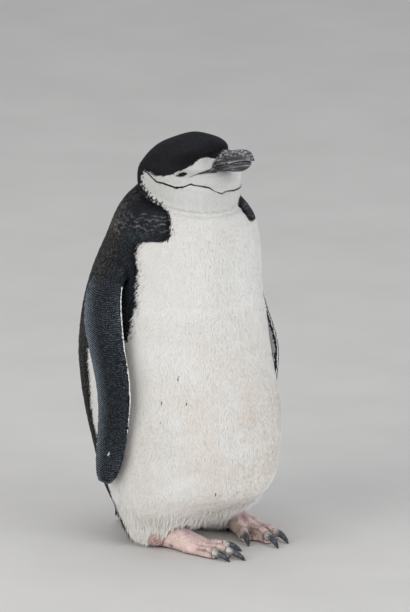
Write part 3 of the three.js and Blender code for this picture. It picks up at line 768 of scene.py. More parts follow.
def bodySeeds(mesh, trees):  # the feathers' ends over the body, clear of the face, the flippers and the feet
    s = bodyCoat
    tips, normals = faceArrays(mesh)
    keep = aboveFold(tips) < -s["belowFold"]
    off = np.zeros(len(tips))
    check = np.where((np.abs(tips[:, 0] - axisX) > s["wingFrom"]) & keep)[0]
    off[check] = nearestDistance(trees["torso"], tips[check])
    keep &= ~((off > s["wingGap"]) & (tips[:, 2] < s["wingTop"]))
    keep &= heel(tips) < 0.5
    low = np.where(keep & (tips[:, 2] < s["legTop"]))[0]
    toFeet, toLegs = (nearestDistance(trees[part], tips[low]) for part in ("feet", "legs"))
    keep[low[toFeet < s["footShare"] * toLegs]] = False
    return tips[keep], normals[keep]


shadeSettings = {
    "bandGap": 0.0042, "shoulder": 0.347, "shoulderFade": (0.005, 0.012), "belowFrom": (0.333, 0.345),
    "belowSide": (60, 84), "streakSide": (98, 114), "streakFrom": (0.08, 0.13), "flecks": 0.07,
    "backRise": 0.015, "backFrom": (88, 133), "break": 0.013, "breakFrom": (-0.8, 0.2), "streak": 0.0060,
}


def darkTips(tips, colours, rng):  # bands over the shoulders, blue flecks below, brown streaks down the back
    s = shadeSettings
    height, facing = tips[:, 2], np.abs(azimuths(tips))
    chance = rng.normal(0, 1, len(tips))
    level = height + s["backRise"] * smoothStep(facing, *s["backFrom"])
    wave = height + 0.0016 * ripple(tips, 0.017, 3.0) + 0.0011 * ripple(tips, 0.0075, 1.0)
    band = (0.5 + 0.5 * np.sin(2 * math.pi * wave / s["bandGap"])) ** 4
    shoulder = 1 - smoothStep(np.abs(level - s["shoulder"]), *s["shoulderFade"])
    below = (1 - smoothStep(level, *s["belowFrom"])) * smoothStep(facing, *s["belowSide"])
    streak = smoothStep(facing, *s["streakSide"]) * smoothStep(height, *s["streakFrom"])
    broken = smoothStep(ripple(tips, s["break"], 6.0), *s["breakFrom"])
    glint = shoulder * (broken * band + 0.10 * chance) + (1 - shoulder) * below * (0.30 + 0.36 * chance)
    glint += streak * (0.3 + 0.85 * ripple(tips, s["streak"], 2.0) + 0.2 * chance)
    glint += 0.4 * (rng.uniform(0, 1, len(tips)) > 1 - s["flecks"]) * below
    pale = mixed(plumage["blueTip"], plumage["greyTip"], shoulder[:, None])
    pale = mixed(pale, plumage["brownTip"], (0.8 * streak)[:, None])
    return mixed(colours, pale, np.clip(glint, 0, 1.2)[:, None])


def makeBodyCoat(materials):
    s = bodyCoat
    rng = np.random.default_rng(21)
    coarse = remeshed(bodyNodes, s["seedVoxel"], s["rounds"])
    fine = remeshed(bodyNodes, s["fineVoxel"], s["fineRounds"])
    tree = surfaceTree(coarse)
    trees = {
        "torso": surfaceTree(remeshed(("torso", "neck"), s["guideVoxel"], s["guideRounds"])),
        "feet": surfaceTree(nodeMesh("foot_right", "foot_left")),
        "legs": surfaceTree(nodeMesh("leg_right", "leg_left", "torso")),
    }
    sets = []
    for mesh, voxel in ((coarse, s["seedVoxel"]), (fine, s["fineVoxel"])):  # the black of the back is finer
        tips, normals = bodySeeds(mesh, trees)
        tips = jittered(tips, normals, s["jitter"] * voxel, rng)
        colours, dark = plumageColours(tips, rng)
        chosen = (dark & (tips[:, 2] > s["upper"])) == (mesh is fine)
        sets.append((tips[chosen], normals[chosen], colours[chosen], dark[chosen]))
    tips, normals, colours, dark = (np.concatenate(part) for part in zip(*sets))
    lies, depth = bodyLies(tips, normals), coatDepth(tips)
    chance = rng.normal(0, 1, (len(tips), 1))
    tipColours = np.where(dark[:, None], darkTips(tips, colours, rng), colours * (1 + 0.015 * chance))
    # every tuft's root is darker than its tip: painted shade deep in the coat, and in the black also the
    # feathers' own darker bases
    rootColours = colours * np.where(dark[:, None], 0.6, 0.94)
    tufts = (tips, normals, lies, depth, rootColours, tipColours)
    margin = edgeMargin(tips)
    front, upper, right = np.abs(azimuths(tips)) < s["side"], tips[:, 2] > s["upper"], tips[:, 0] < axisX
    mantle = dark & (tips[:, 2] > s["mantleLow"]) & (tips[:, 2] < s["mantleTop"]) & (margin > s["mantleEdge"])
    parts = (
        ("breast", "white", ~dark & upper),
        ("belly_right", "white", ~dark & ~upper & front & right),
        ("belly_left", "white", ~dark & ~upper & front & ~right),
        ("flanks", "white", ~dark & ~upper & ~front),
        ("back_right", "black", dark & upper & right & ~mantle),
        ("back_left", "black", dark & upper & ~right & ~mantle),
        ("back_mantle", "mantle", mantle),
        ("rump", "black", dark & ~upper),
    )
    for name, kind, chosen in parts:
        inside = smoothStep(np.abs(margin[chosen]), 0, s["fringe"])  # short and fine along the edge
        settings = dict(s[kind], scale=0.6 + 0.4 * inside, slim=0.36 + 0.64 * inside)
        lean = 0.0 if upper[chosen].all() else s["lean"]
        mesh = growTufts(chosenOf(tufts, chosen), tree, settings, rng, lean)
        coatPiece("feathers_" + name, mesh, materials, "white_down" if kind == "white" else "black_down")


# Feathers of the head, smallest round the bill and the eyes.
headCoat = {
    "seedVoxel": 0.00112, "rounds": 6, "jitter": 0.42, "crown": 0.0011, "crownFrom": (0.414, 0.427),
    "aboveFold": 0.0012, "foldFacing": -0.45, "billFrom": 0.040, "billHalf": 0.02, "billGap": 0.0006,
    "slitGap": 0.0003, "rear": 0.004, "small": (0.012, 0.034), "glint": np.array([0.056, 0.060, 0.084]),
    "start": (0.050, 0, 0.404), "billRoot": (0.046, 0, 0.406), "reach": 0.10, "level": (0.395, 0.41),
    "face": {"length": 0.0046, "width": 0.00125, "thick": 0.00025, "fray": 9, "lift": 0.0, "ruffle": 0.00008,
             "uneven": 0.15, "rings": ((0.5, 1.0, 0.2, 0.25),)},
    "cap": {"length": 0.0050, "width": 0.00125, "thick": 0.00028, "fray": 8, "lift": 0.0, "ruffle": 0.00010,
            "uneven": 0.15, "rings": ((0.55, 1.0, 0.2, 0.25),)},
}


def headLies(points):  # from the bill backwards, turning down towards the throat
    s = headCoat
    away = points - np.array(headPoint(*s["start"]))
    distance = np.linalg.norm(away, axis=1, keepdims=True)
    share = np.clip(1.2 - distance / s["reach"], 0.35, 1) + 0.5 * smoothStep(points[:, 2:3], *s["level"])
    return unit(away) * share + hanging(points) * (1.02 - np.clip(share, 0, 1))


def makeHeadCoat(materials):
    s = headCoat
    rng = np.random.default_rng(31)
    outer = remeshed(("head",), s["seedVoxel"], s["rounds"])
    tree = surfaceTree(outer)
    billTree = surfaceTree(nodeMesh("bill_upper", "bill_lower"))
    tips, normals = faceArrays(outer)
    foldNormal = np.array(Vector((0, -foldSettings["slope"], 1)).normalized())
    keep = ~((aboveFold(tips) < s["aboveFold"]) & (normals @ foldNormal < s["foldFacing"]))
    keep &= ~inGape(tips)
    front = keep & (axisY - tips[:, 1] > s["billFrom"]) & (np.abs(tips[:, 0] - axisX) < s["billHalf"])
    front = np.where(front)[0]
    keep[front[nearestDistance(billTree, tips[front]) < s["billGap"]]] = False
    tips, normals = tips[keep], normals[keep]
    tips = jittered(tips, normals, s["jitter"] * s["seedVoxel"], rng)
    lies = headLies(tips)
    behind = [nearSlit(tips - lies * back, s["slitGap"]) for back in (0.0, 0.0008, 0.0016, 0.0024)]
    clear = np.min(behind, axis=0) > 1  # no tuft lies across the open slit
    tips, normals, lies = tips[clear], normals[clear], lies[clear]
    colours, dark = plumageColours(tips, rng)
    beyond = np.linalg.norm(tips - np.array(headPoint(*s["billRoot"])), axis=1)
    scale = 0.45 + 0.55 * smoothStep(beyond, *s["small"])
    scale *= 0.35 + 0.65 * smoothStep(nearSlit(tips, 0.002), 1.0, 3.0)
    depth = coatDepth(tips)
    # the cap's tips take a pale blue-grey by chance, the feathers' own tips, and more of it where they face
    # up: a painted highlight on top of the cap
    glint = np.clip(0.4 + 0.4 * rng.normal(0, 1, (len(tips), 1)), 0, 1)
    glint = 0.5 * glint * (0.35 + 0.65 * smoothStep(normals[:, 2:3], 0.1, 0.8))
    tipColours = np.where(dark[:, None], colours + (s["glint"] - colours) * glint, colours)
    # every tuft's root is darker than its tip: painted shade deep in the coat, and in the cap also the
    # feathers' own darker bases
    rootColours = colours * np.where(dark[:, None], 0.7, 0.94)
    tips = tips - normals * (s["crown"] * smoothStep(tips[:, 2], *s["crownFrom"]))[:, None]
    tufts = (tips, normals, lies, depth, rootColours, tipColours)
    rear = axisY - tips[:, 1] < s["rear"]
    parts = (
        ("cap", "cap", dark, -0.8), ("cheeks", "face", ~dark & rear, 0.0),
        ("face", "face", ~dark & ~rear, 0.0),
    )
    for name, kind, chosen, lean in parts:
        mesh = growTufts(chosenOf(tufts, chosen), tree, dict(s[kind], scale=scale[chosen]), rng, lean)
        coatPiece("feathers_" + name, mesh, materials, "black_down" if name == "cap" else "white_down")
    makeStrap(tree, rng, materials)


strapCoat = {
    "from": -120, "to": 117, "step": 0.25, "room": 0.00030, "least": 0.00004, "depth": 0.0010,
    "wander": 0.00025, "far": 0.12, "along": 0.00096,
    "tuft": {"length": 0.0026, "width": 0.00085, "thick": 0.0003, "fray": 5, "lift": 0.0004,
             "ruffle": 0.00005, "uneven": 0.12, "rings": ((0.5, 1.0, 0.25, 0.25),)},
}


def makeStrap(tree, rng, materials):  # the line under the face, laid backwards along itself
    s = strapCoat
    azimuth = np.repeat(np.arange(s["from"], s["to"], s["step"]), 2)
    azimuth = azimuth + rng.uniform(-s["step"], s["step"], len(azimuth))
    uneven = ripple(np.outer(azimuth, (0.001, 0.0007, 0)), 0.005)
    room = 1.1 * np.maximum(curve(strapHalf, azimuth) + s["wander"] * uneven - s["room"], s["least"])
    height = curve(strapLine, azimuth) + room * rng.uniform(-1, 1, len(azimuth))
    turn, way = np.radians(azimuth), np.sign(azimuth)
    outward = np.stack([-np.sin(turn), -np.cos(turn), np.zeros(len(turn))], 1)
    backwards = np.stack([-np.cos(turn), np.sin(turn), np.zeros(len(turn))], 1) * way[:, None]
    rise = curve(strapLine, azimuth + way) - curve(strapLine, azimuth)
    lies = backwards * s["along"] + np.array([[0, 0, 1.0]]) * rise[:, None]
    start = np.array([axisX, axisY, 0]) + outward * s["far"]  # well outside the head
    start[:, 2] = height
    hits = [tree.ray_cast(Vector(a), -Vector(b)) for a, b in zip(start, outward)]
    found = np.array([hit[0] is not None for hit in hits])
    tips = np.array([hit[0] for hit in hits if hit[0] is not None])
    normals = np.array([hit[1] for hit in hits if hit[0] is not None])
    black = np.tile(plumage["cap"], (len(tips), 1))
    mesh = growTufts((tips, normals, lies[found], s["depth"], black * 0.8, black), tree, s["tuft"], rng)
    coatPiece("feathers_strap", mesh, materials, "black_down")


# Short feathers over the root of the bill, and the bare corner of the mouth.
billCoat = {
    "voxel": 0.00105, "rounds": 2, "jitter": 0.0004, "depth": 0.0009,
    "back": 0.0016, "ragged": 0.0006, "ridge": 0.0032, "ridgeTo": (0.009, 0.019),
    "ridgeFrom": (0.004, 0.0085), "flecks": 0.35, "fleckFrom": 0.004,
    "boundary": [(-0.0115, -0.0120), (-0.0103, -0.0095), (-0.0098, -0.0081), (-0.0077, -0.0032),
                 (-0.0052, -0.0011), (-0.0009, 0.0028), (0.0021, 0.0083), (0.0060, 0.0135), (0.0085, 0.0181),
                 (0.0096, 0.0195)],
    "tuft": {"length": 0.0028, "width": 0.0010, "thick": 0.0003, "fray": 12, "lift": 0.00015,
             "ruffle": 0.0001, "uneven": 0.2, "rings": ((0.5, 1.0, 0.25, 0.25),)},
}
gapeSettings = {
    "from": -0.0125, "to": 0.003, "side": 0.006, "rim": 0.0001, "lift": 0.0003, "thick": 0.0007,
    "groove": 0.0003, "grooveHalf": 0.0005, "segments": (48, 16), "voxel": 0.0011, "rounds": 2,
    "lower": [(-0.012, -0.0117), (-0.0081, -0.0103), (-0.0008, -0.0105), (0.003, -0.0116)],
}


def gapeLimits(along):  # the lower and the upper line of the bare corner of the mouth
    upper = [(a, u) for u, a in billCoat["boundary"]]
    return curve(gapeSettings["lower"], along), curve(upper, along)


def inGape(points):
    s = gapeSettings
    along, across, up = inBill(points)
    lower, upper = gapeLimits(along)
    inside = (along > s["from"]) & (along < s["to"]) & (np.abs(across) > s["side"])
    return inside & (up > lower - s["rim"]) & (up < upper + s["rim"])


def fromBill(along, across, up):  # a place in the bill's own frame, back in the bird's
    pitch = math.radians(billSettings["pitch"])
    forward, height = billSettings["base"]
    forward = forward + along * math.cos(pitch) - up * math.sin(pitch)
    return headPoint(forward, across, height + along * math.sin(pitch) + up * math.cos(pitch))


def makeGape(name, side, tree, material):  # a thin bare strip on the cheek, with the mouth's line sunk in it
    s = gapeSettings
    bm = bmesh.new()
    bmesh.ops.create_grid(bm, x_segments=s["segments"][0], y_segments=s["segments"][1], size=1.0)
    inwards = fromBill(0, 0, 0) - fromBill(0, side * 1.0, 0)
    for vert in bm.verts:
        along = s["from"] + (s["to"] - s["from"]) * (vert.co.x + 1) / 2
        lower, upper = gapeLimits(along)
        up = lower + (upper - lower) * (vert.co.y + 1) / 2
        line = hump(up, curve(billSettings["upperEdge"], along), s["grooveHalf"])
        hit = tree.ray_cast(fromBill(along, side * 0.05, up), inwards)
        vert.co = hit[0] + hit[1] * (s["lift"] - s["groove"] * line)
    made = bmesh.ops.extrude_face_region(bm, geom=bm.faces[:])["geom"]
    inner = [v for v in made if isinstance(v, bmesh.types.BMVert)]
    bmesh.ops.translate(bm, verts=inner, vec=inwards.normalized() * s["thick"])
    bmesh.ops.recalc_face_normals(bm, faces=bm.faces)
    mesh = meshFrom(bm, name)
    paintHorn(mesh, "gape")
    finishPiece(mesh, name, material)


def makeBillFeathers(materials):
    s = billCoat
    rng = np.random.default_rng(35)
    outer = remeshed(("bill_upper",), s["voxel"], s["rounds"])
    tree = surfaceTree(outer)
    tips, normals = faceArrays(outer)
    lie = np.array(fromBill(-1, 0, 0) - fromBill(0, 0, 0))
    along, across, up = inBill(tips)
    ragged = s["ragged"] * rng.normal(0, 1, len(tips))
    keep = (along + ragged < curve(s["boundary"], up) - s["back"]) & (normals @ lie < 0.5)
    tips, normals, along, up = tips[keep], normals[keep], along[keep], up[keep]
    tips = jittered(tips, normals, s["jitter"], rng)
    colours, dark = plumageColours(tips, rng)
    fleck = (up > s["fleckFrom"]) & (rng.uniform(0, 1, len(tips)) < s["flecks"])
    colours = np.where(fleck[:, None], plumage["throat"] * 0.8, colours)
    wedge = s["ridge"] * (1 - smoothStep(along, *s["ridgeTo"])) * smoothStep(up, *s["ridgeFrom"])
    tips = tips + normals * wedge[:, None]
    # the tufts' roots are a fifth darker than their tips: painted shade deep in the coat
    tufts = (tips, normals, np.tile(lie, (len(tips), 1)), s["depth"], colours * 0.8, colours)
    for name, slot, chosen in (("brow", "black_down", dark), ("lore", "white_down", ~dark)):
        mesh = growTufts(chosenOf(tufts, chosen), tree, s["tuft"], rng)
        coatPiece("feathers_" + name, mesh, materials, slot)


# Scale-like feathers of the flippers, in rows that curve across the blade.
flipperCoat = {
    "voxel": 0.0012, "rounds": 3, "rows": 0.00225, "across": 0.0016, "arc": 0.20, "under": 0.012,
    "near": 0.009, "least": 8, "tipRoom": 0.004, "stand": (1.4, 1.02), "jitter": 0.0004, "end": 0.014,
    "drop": 0.0034, "trail": 0.0006, "bareEdge": 0.965, "bareFrom": 0.03,
    "scale": {"length": 0.0042, "width": 0.0019, "thick": 0.0004, "fray": 4, "lift": 0.0002,
              "ruffle": 0.00004, "uneven": 0.05,
              "rings": ((0.5, 0.95, 0.5, 0.0), (0.78, 1.0, 0.4, 0.1), (0.9, 0.8, 0.3, 0.95))},
    "edge": {"length": 0.0042, "width": 0.0012, "thick": 0.0004, "fray": 4, "lift": 0.0005,
             "ruffle": 0.00005, "uneven": 0.1, "rings": ((0.6, 1.0, 0.5, 0.25),)},
}
edgeSettings = {
    "step": 0.00045, "jitter": 0.0002, "away": 0.004, "fade": 0.045, "inward": {-1: 0.0, 1: 0.0026},
}


def flipperSeeds(outline):  # rings of points just outside the blade, every other ring half a step on
    s = flipperCoat
    points = []
    low, (wide, long) = outline[0, 0], s["stand"]
    for row, level in enumerate(np.arange(low - s["under"], flipperMarks["top"], s["rows"])):
        known = max(level, low + s["tipRoom"])
        at = [np.interp(known, outline[:, 0], outline[:, k]) for k in (1, 2, 3, 4)]
        middle, half = (at[0] + at[1]) / 2, (at[1] - at[0]) / 2
        out, thick = (at[2] + at[3]) / 2, (at[3] - at[2]) / 2
        around = max(int(4 * half / s["across"]), s["least"])
        turn = 2 * np.pi * (np.arange(around) + 0.5 * (row % 2)) / around
        arc = s["arc"] * half * (np.cos(turn) ** 2 - 0.3)
        ring = (out + wide * thick * np.sin(turn), middle - long * half * np.cos(turn), level + arc)
        points.append(np.stack(ring, 1))
    return np.concatenate(points)


def makeFlipperCoat(name, side, outlines, materials):
    s, marks, outline = flipperCoat, flipperMarks, outlines[side]
    rng = np.random.default_rng(41 + side)
    tree = surfaceTree(remeshed((name,), s["voxel"], s["rounds"]))
    points = flipperSeeds(outline)
    tips, normals = settle(tree, points)
    keep = (np.linalg.norm(tips - points, axis=1) < s["near"]) & (tips[:, 2] < marks["top"])
    bare = (flipperShare(tips, outline) > s["bareEdge"]) & (side < 0)  # left to the white line
    bare &= (tips[:, 2] > marks["leadingBottom"] + s["bareFrom"]) & (tips[:, 2] < marks["leadingTop"])
    keep &= ~bare
    tips, normals = tips[keep], normals[keep]
    loose = smoothStep(flipperShare(tips, outline), -0.5, 0.2)[:, None]  # even rows only along the rear edge
    tips = jittered(tips, normals, s["jitter"] * (0.15 + loose), rng)
    rootColours, tipColours = flipperColours(tips, normals, outlines, rng)
    low = outline[0, 0]
    end = 1 - smoothStep(tips[:, 2], low, low + s["end"])  # the blade's tip runs on a little, down and back
    tips = tips + np.outer(end, (0, s["trail"], -s["drop"]))
    tufts = (tips, normals, hanging(tips), depthSettings["flipper"], rootColours * 0.8, tipColours)
    mesh = growTufts(tufts, tree, s["scale"], rng)
    outer = normals[:, 0] * side > 0
    sheet = np.stack([0.01 + 0.48 * spread(tips[:, 1]) + 0.5 * outer, spread(tips[:, 2])], 1)
    moveOnMap(mesh.uv_layers["OFBake"], unwrapped(tips, 0.0), sheet)
    makeFlipperEdges("feathers_edge_" + name, side, outline, tree, rng, materials)
    coatPiece("feathers_" + name, mesh, materials, "black_down")


def makeFlipperEdges(name, side, outline, tree, rng, materials):  # a fine white line down both edges
    s, marks = edgeSettings, flipperMarks
    lines, middle = [], (outline[:, 3] + outline[:, 4]) / 2
    for column, away, low, high in ((1, -1, marks["leadingBottom"], marks["leadingTop"]),
                                    (2, 1, marks["trailingBottom"], marks["trailingTop"])):
        level = np.arange(low, high, s["step"])
        across = np.interp(level, outline[:, 0], middle) - side * s["inward"][side]
        edge = np.interp(level, outline[:, 0], outline[:, column]) + away * s["away"]
        line = np.stack([across, edge, level], 1)
        fades = smoothStep(level, low, low + s["fade"]) if column == 1 else np.ones(len(level))
        lines.append(line[rng.uniform(0, 1, len(line)) < 0.12 + 0.88 * fades])
    tips, normals = settle(tree, np.concatenate(lines))
    tips = jittered(tips, normals, s["jitter"], rng)
    white = np.tile(plumage["white"], (len(tips), 1))
    tufts = (tips, normals, hanging(tips), depthSettings["flipper"], white, white)
    coatPiece(name, growTufts(tufts, tree, flipperCoat["edge"], rng), materials, "white_down")


def moveOnMap(layer, old, new):  # every tuft's patch goes to another place on the bake map
    uv = np.empty(len(layer.data) * 2, np.float32)
    layer.data.foreach_get("uv", uv)
    uv = uv.reshape(len(old), -1, 2) + (new - old)[:, None]
    layer.data.foreach_set("uv", uv.astype(np.float32).ravel())


# Tail: stiff feathers in tiers, and their coverts.
tailSettings = {
    "forward": -0.079, "up": 0.080, "dip": 76.0, "width": 0.0082, "thick": 0.0009, "step": 0.0021,
    "patch": 0.04, "spread": 1.75, "spreadChance": 0.35, "lengthChance": 0.0008, "shorter": 0.0099,
    "sag": 0.00052, "droop": 0.003,
    "tiers": ({"count": 14, "length": 0.0868, "rise": 0.0002},
              {"count": 13, "length": 0.068, "rise": 0.0019},
              {"count": 12, "length": 0.053, "rise": 0.0035}),
    "stations": (0.06, 0.25, 0.5, 0.72, 0.86, 0.95),
    "profile": [(0, 0.7), (0.25, 0.82), (0.5, 0.92), (0.75, 1.0), (0.88, 0.74), (0.96, 0.4), (1, 0.1)],
    "section": ((-1, -0.6), (-0.3, 0.5), (0, 1.7), (0.3, 0.5), (1, -0.6), (0, -1)),  # vane, shaft and vane
}


def tailFrame():
    dip = math.radians(tailSettings["dip"])
    along = np.array([0.0, math.cos(dip), -math.sin(dip)])
    across = np.array([1.0, 0.0, 0.0])
    outward = np.array([0.0, math.sin(dip), math.cos(dip)])
    return np.array(birdPoint(tailSettings["forward"], 0, tailSettings["up"])), along, across, outward


def makeTail(material):
    s = tailSettings
    rng = np.random.default_rng(51)
    start, along, across, outward = tailFrame()
    roots, rings, tips = [], [], []
    for tier in s["tiers"]:
        for index in range(tier["count"]):
            offset = index - (tier["count"] - 1) / 2
            splay = math.radians(offset * s["spread"] + rng.normal(0, s["spreadChance"]))
            length = tier["length"] * (1 - s["shorter"] * offset ** 2) + rng.normal(0, s["lengthChance"])
            way = along * math.cos(splay) + across * math.sin(splay)
            side = across * math.cos(splay) - along * math.sin(splay)
            lie = tier["rise"] - s["sag"] * abs(offset)
            base = start + across * (offset * s["step"])

            def at(share):
                return base + way * (share * length) + outward * (lie - s["droop"] * share ** 2)

            ring = []
            for share in s["stations"]:
                half = side * (s["width"] / 2 * curve(s["profile"], share))
                thick = outward * (s["thick"] / 2 * (1 - 0.4 * share))
                ring.append([at(share) + half * a + thick * b for a, b in s["section"]])
            roots.append(at(0.0))
            rings.append(ring)
            tips.append(at(1.0))
    roots, rings, tips = np.array(roots), np.array(rings), np.array(tips)
    count, columns = len(roots), s["tiers"][0]["count"]
    shade = plumage["back"] * (0.75 + 0.25 * rng.uniform(0, 1, (count, 1)))
    cells = np.arange(count)
    places = np.stack([spread(cells % columns + 0.0), spread(cells // columns + 0.0)], 1) * 0.95
    mesh = bladeMesh(roots, rings, tips, shade, shade * 0.6 + plumage["brown"] * 0.5, places, s["patch"])
    tail = finishPiece(mesh, "tail_feathers", material, smooth=False)
    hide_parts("tail")


covertCoat = {
    "voxel": 0.0022, "rounds": 4, "from": 0.004, "to": 0.050, "jitter": 0.0009, "depth": 0.0022,
    "tuft": {"length": 0.015, "width": 0.0026, "thick": 0.0004, "fray": 8, "lift": 0.0003, "ruffle": 0.0004,
             "uneven": 0.2, "rings": ((0.6, 1.0, 0.3, 0.25),)},
}


def makeCoverts(materials):
    s = covertCoat
    rng = np.random.default_rng(52)
    start, along, across, outward = tailFrame()
    outer = remeshed(("tail",), s["voxel"], s["rounds"])
    tips, normals = faceArrays(outer)
    reach = (tips - start) @ along
    keep = (reach > s["from"]) & (reach < s["to"])
    tips, normals = tips[keep], normals[keep]
    tips = jittered(tips, normals, s["jitter"], rng)
    shade = plumage["back"] * (0.8 + 0.3 * rng.uniform(0, 1, (len(tips), 1)))
    tufts = (tips, normals, np.tile(along, (len(tips), 1)), s["depth"], shade * 0.7, shade * 1.2)
    mesh = growTufts(tufts, surfaceTree(outer), s["tuft"], rng)
    coatPiece("feathers_coverts", mesh, materials, "black_down")


# Long loose tips along the hem of the belly and over the feet.
hemCoat = {
    "voxel": 0.0018, "rounds": 6, "rootVoxel": 0.0024, "rootRounds": 3, "share": 0.55, "low": 0.002,
    "top": 0.040, "clear": 0.0012, "jitter": 0.0009, "hang": 0.006, "down": 0.8,
    "tuft": {"length": 0.016, "width": 0.0008, "thick": 0.0002, "fray": 12, "lift": 0.0003, "ruffle": 0.0005,
             "uneven": 0.3, "rings": ((0.4, 1.0, 0.2, 0.25),)},
}


def makeHem(materials):
    s = hemCoat
    rng = np.random.default_rng(61)
    outer = remeshed(("torso", "leg_right", "leg_left", "foot_right", "foot_left"), s["voxel"], s["rounds"])
    tree = surfaceTree(remeshed(("torso", "leg_right", "leg_left"), s["rootVoxel"], s["rootRounds"]))
    feetTree = surfaceTree(nodeMesh("foot_right", "foot_left"))
    tips, normals = faceArrays(outer)
    keep = (tips[:, 2] < s["top"]) & (tips[:, 2] > s["low"]) & (rng.uniform(0, 1, len(tips)) < s["share"])
    tips, normals = tips[keep], normals[keep]
    keep = nearestDistance(feetTree, tips) > s["clear"]
    keep &= (nearestDistance(tree, tips) < s["clear"]) & (heel(tips) < 0.6)
    tips, normals = tips[keep], normals[keep]
    tips = jittered(tips, normals, s["jitter"], rng)
    tips[:, 2] -= rng.uniform(0.0, s["hang"], len(tips))
    colours = plumageColours(tips, rng)[0]
    lies = bodyLies(tips, normals)
    lies[:, 2] -= s["down"]
    # the tufts' roots are a tenth darker than their tips: painted shade deep in the coat
    tufts = (tips, normals, lies, coatDepth(tips), colours * 0.9, colours)
    mesh = growTufts(tufts, tree, s["tuft"], rng, bodyCoat["lean"])
    coatPiece("feathers_hem", mesh, materials, "white_down")


# Eyes and lids.
def eyeMaterial():
    material, tree, shader = newMaterial("wetEye", Roughness=0.14, Specular_IOR_Level=0.28)
    shade = ramp(tree, objectNoise(tree, 900), [(0.3, (0.6, 0.6, 0.6)), (0.7, (1, 1, 1))])
    tinted(tree, shader, (1.0, shade))
    return material


irisSettings = {  # how much of the iris's brown there is at each angle from the middle of the pupil
    "rings": [(0, 0.0), (26, 0.0), (29, 1.0), (47, 1.0), (50, 0.25), (180, 0.25)],
    "pupil": linear(5, 4, 4), "iris": linear(36, 21, 15), "segments": (40, 28),
}


def makeEye(name, side, material):
    s = irisSettings
    eye = eyeFrame(side)
    bm = bmesh.new()
    across, up = s["segments"]
    bmesh.ops.create_uvsphere(bm, u_segments=across, v_segments=up, radius=eyeSettings["ball"])
    turn = eye["outward"].to_track_quat("Z", "Y").to_matrix().to_4x4()
    bmesh.ops.transform(bm, verts=bm.verts, matrix=Matrix.Translation(eye["ball"]) @ turn)
    mesh = meshFrom(bm, name)
    away = unit(vertexArrays(mesh)[0] - np.array(eye["ball"])) @ np.array(eye["outward"])
    iris = curve(s["rings"], np.degrees(np.arccos(np.clip(away, -1, 1))))[:, None]
    paint(mesh, mixed(s["pupil"], s["iris"], iris))
    piece = finishPiece(mesh, name, material)
    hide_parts("eye_right" if side < 0 else "eye_left")


lidSettings = {  # rings from the outside in: shares of the slit's half length and height, and how far out
    "corners": 44, "rise": 0.0004, "fall": 0.0005, "narrow": 0.35, "colour": linear(15, 14, 14),
    "rings": [(1.14, 1.6, -0.0009), (1.07, 1.3, -0.0001), (1.0, 1.0, 0.00018), (0.95, 0.75, -0.0001),
              (0.92, 0.62, -0.0008), (0.9, 0.6, -0.0042)],
}


def makeLids(name, side, material):  # a thin dark rim round the slit, and its walls down to the ball
    eye = eyeFrame(side)
    s = lidSettings
    bm = bmesh.new()
    bmesh.ops.create_circle(bm, segments=s["corners"], radius=1.0)
    edges = bm.edges[:]
    for _ in s["rings"][1:]:  # each ring starts one metre above the last, which tells them apart below
        made = bmesh.ops.extrude_edge_only(bm, edges=edges)["geom"]
        edges = [e for e in made if isinstance(e, bmesh.types.BMEdge)]
        bmesh.ops.translate(bm, verts=[v for v in made if isinstance(v, bmesh.types.BMVert)], vec=(0, 0, 1))
    bmesh.ops.holes_fill(bm, edges=bm.edges, sides=s["corners"])
    for vert in bm.verts:
        wide, tall, out = s["rings"][round(vert.co.z)]
        across = vert.co.x * eyeSettings["half"] * wide
        narrow = 1 - s["narrow"] * max(vert.co.x, 0) ** 2  # the slit runs to a finer point in front
        rise = vert.co.y * eyeSettings["open"] * tall * narrow
        out += s["rise"] - s["fall"] * vert.co.x ** 2
        vert.co = eye["lid"] + eye["forward"] * across + eye["up"] * rise + eye["outward"] * out
    bmesh.ops.recalc_face_normals(bm, faces=bm.faces)
    mesh = meshFrom(bm, name)
    paint(mesh, s["colour"])
    finishPiece(mesh, name, material)


# Bill: dark horn, scratched and flaking, paler along the cutting edges, and paler in patches over its top,
# partly wear and partly painted highlight.
billSettings = {
    "base": (0.044, 0.4085), "pitch": 12.0, "voxel": 0.0006, "rounds": 9, "ridges": 0.00006, "flutes": 2600,
    "upperEdge": [(-0.014, -0.0084), (-0.006, -0.007), (0.002, -0.0052), (0.011, -0.0037), (0.022, -0.0023),
                  (0.031, -0.0016), (0.038, -0.0014), (0.0435, -0.0016), (0.0475, -0.0024), (0.051, -0.0038)],
    "horn": linear(36, 37, 42), "pale": linear(180, 182, 186), "dark": linear(12, 12, 14),
    "nostril": (0.017, 0.0026), "nostrilHalf": (0.0024, 0.0008),
    "scratches": [(60, 380, 3.0, 0.60, 0.66, 0.55), (150, 900, 4.0, 0.60, 0.68, 0.35)],  # coarse, then fine
    "flakes": 620, "bump": 0.35, "bumpDepth": 0.0003, "smoothTip": (-0.048, -0.03),
}
hornMarks = {  # the middle and half width of each line, and from where to where it fades in or out
    "cutting": (0.0004, 0.0008), "cuttingFrom": (0.0, 0.012), "rim": (-0.0052, 0.0007),
    "rimFrom": (0.004, 0.02), "arc": (-0.0006, 0.0004), "arcLow": (-0.0104, -0.009),
    "arcHigh": (-0.0068, -0.0052),
    "wearAndHighlight": ((1.1, 0.0048, 3.0), (1.3, 0.0019, 1.0)), "wearAndHighlightUp": (0.0015, 0.0085), "wearAndHighlightTip": (0.036, 0.046),
    "mouth": (0, 0.0005), "mouthTo": (0.0, 0.006),
}


def inBill(points):  # along the bill, across it and up it, in metres
    turned = np.array(Matrix.Rotation(-math.radians(axisSettings["headTurn"]), 3, "Z"))
    local = (points - np.array([axisX, axisY, 0])) @ turned.T
    pitch = math.radians(billSettings["pitch"])
    forward, up = -local[:, 1] - billSettings["base"][0], local[:, 2] - billSettings["base"][1]
    along = forward * math.cos(pitch) + up * math.sin(pitch)
    return along, local[:, 0], up * math.cos(pitch) - forward * math.sin(pitch)


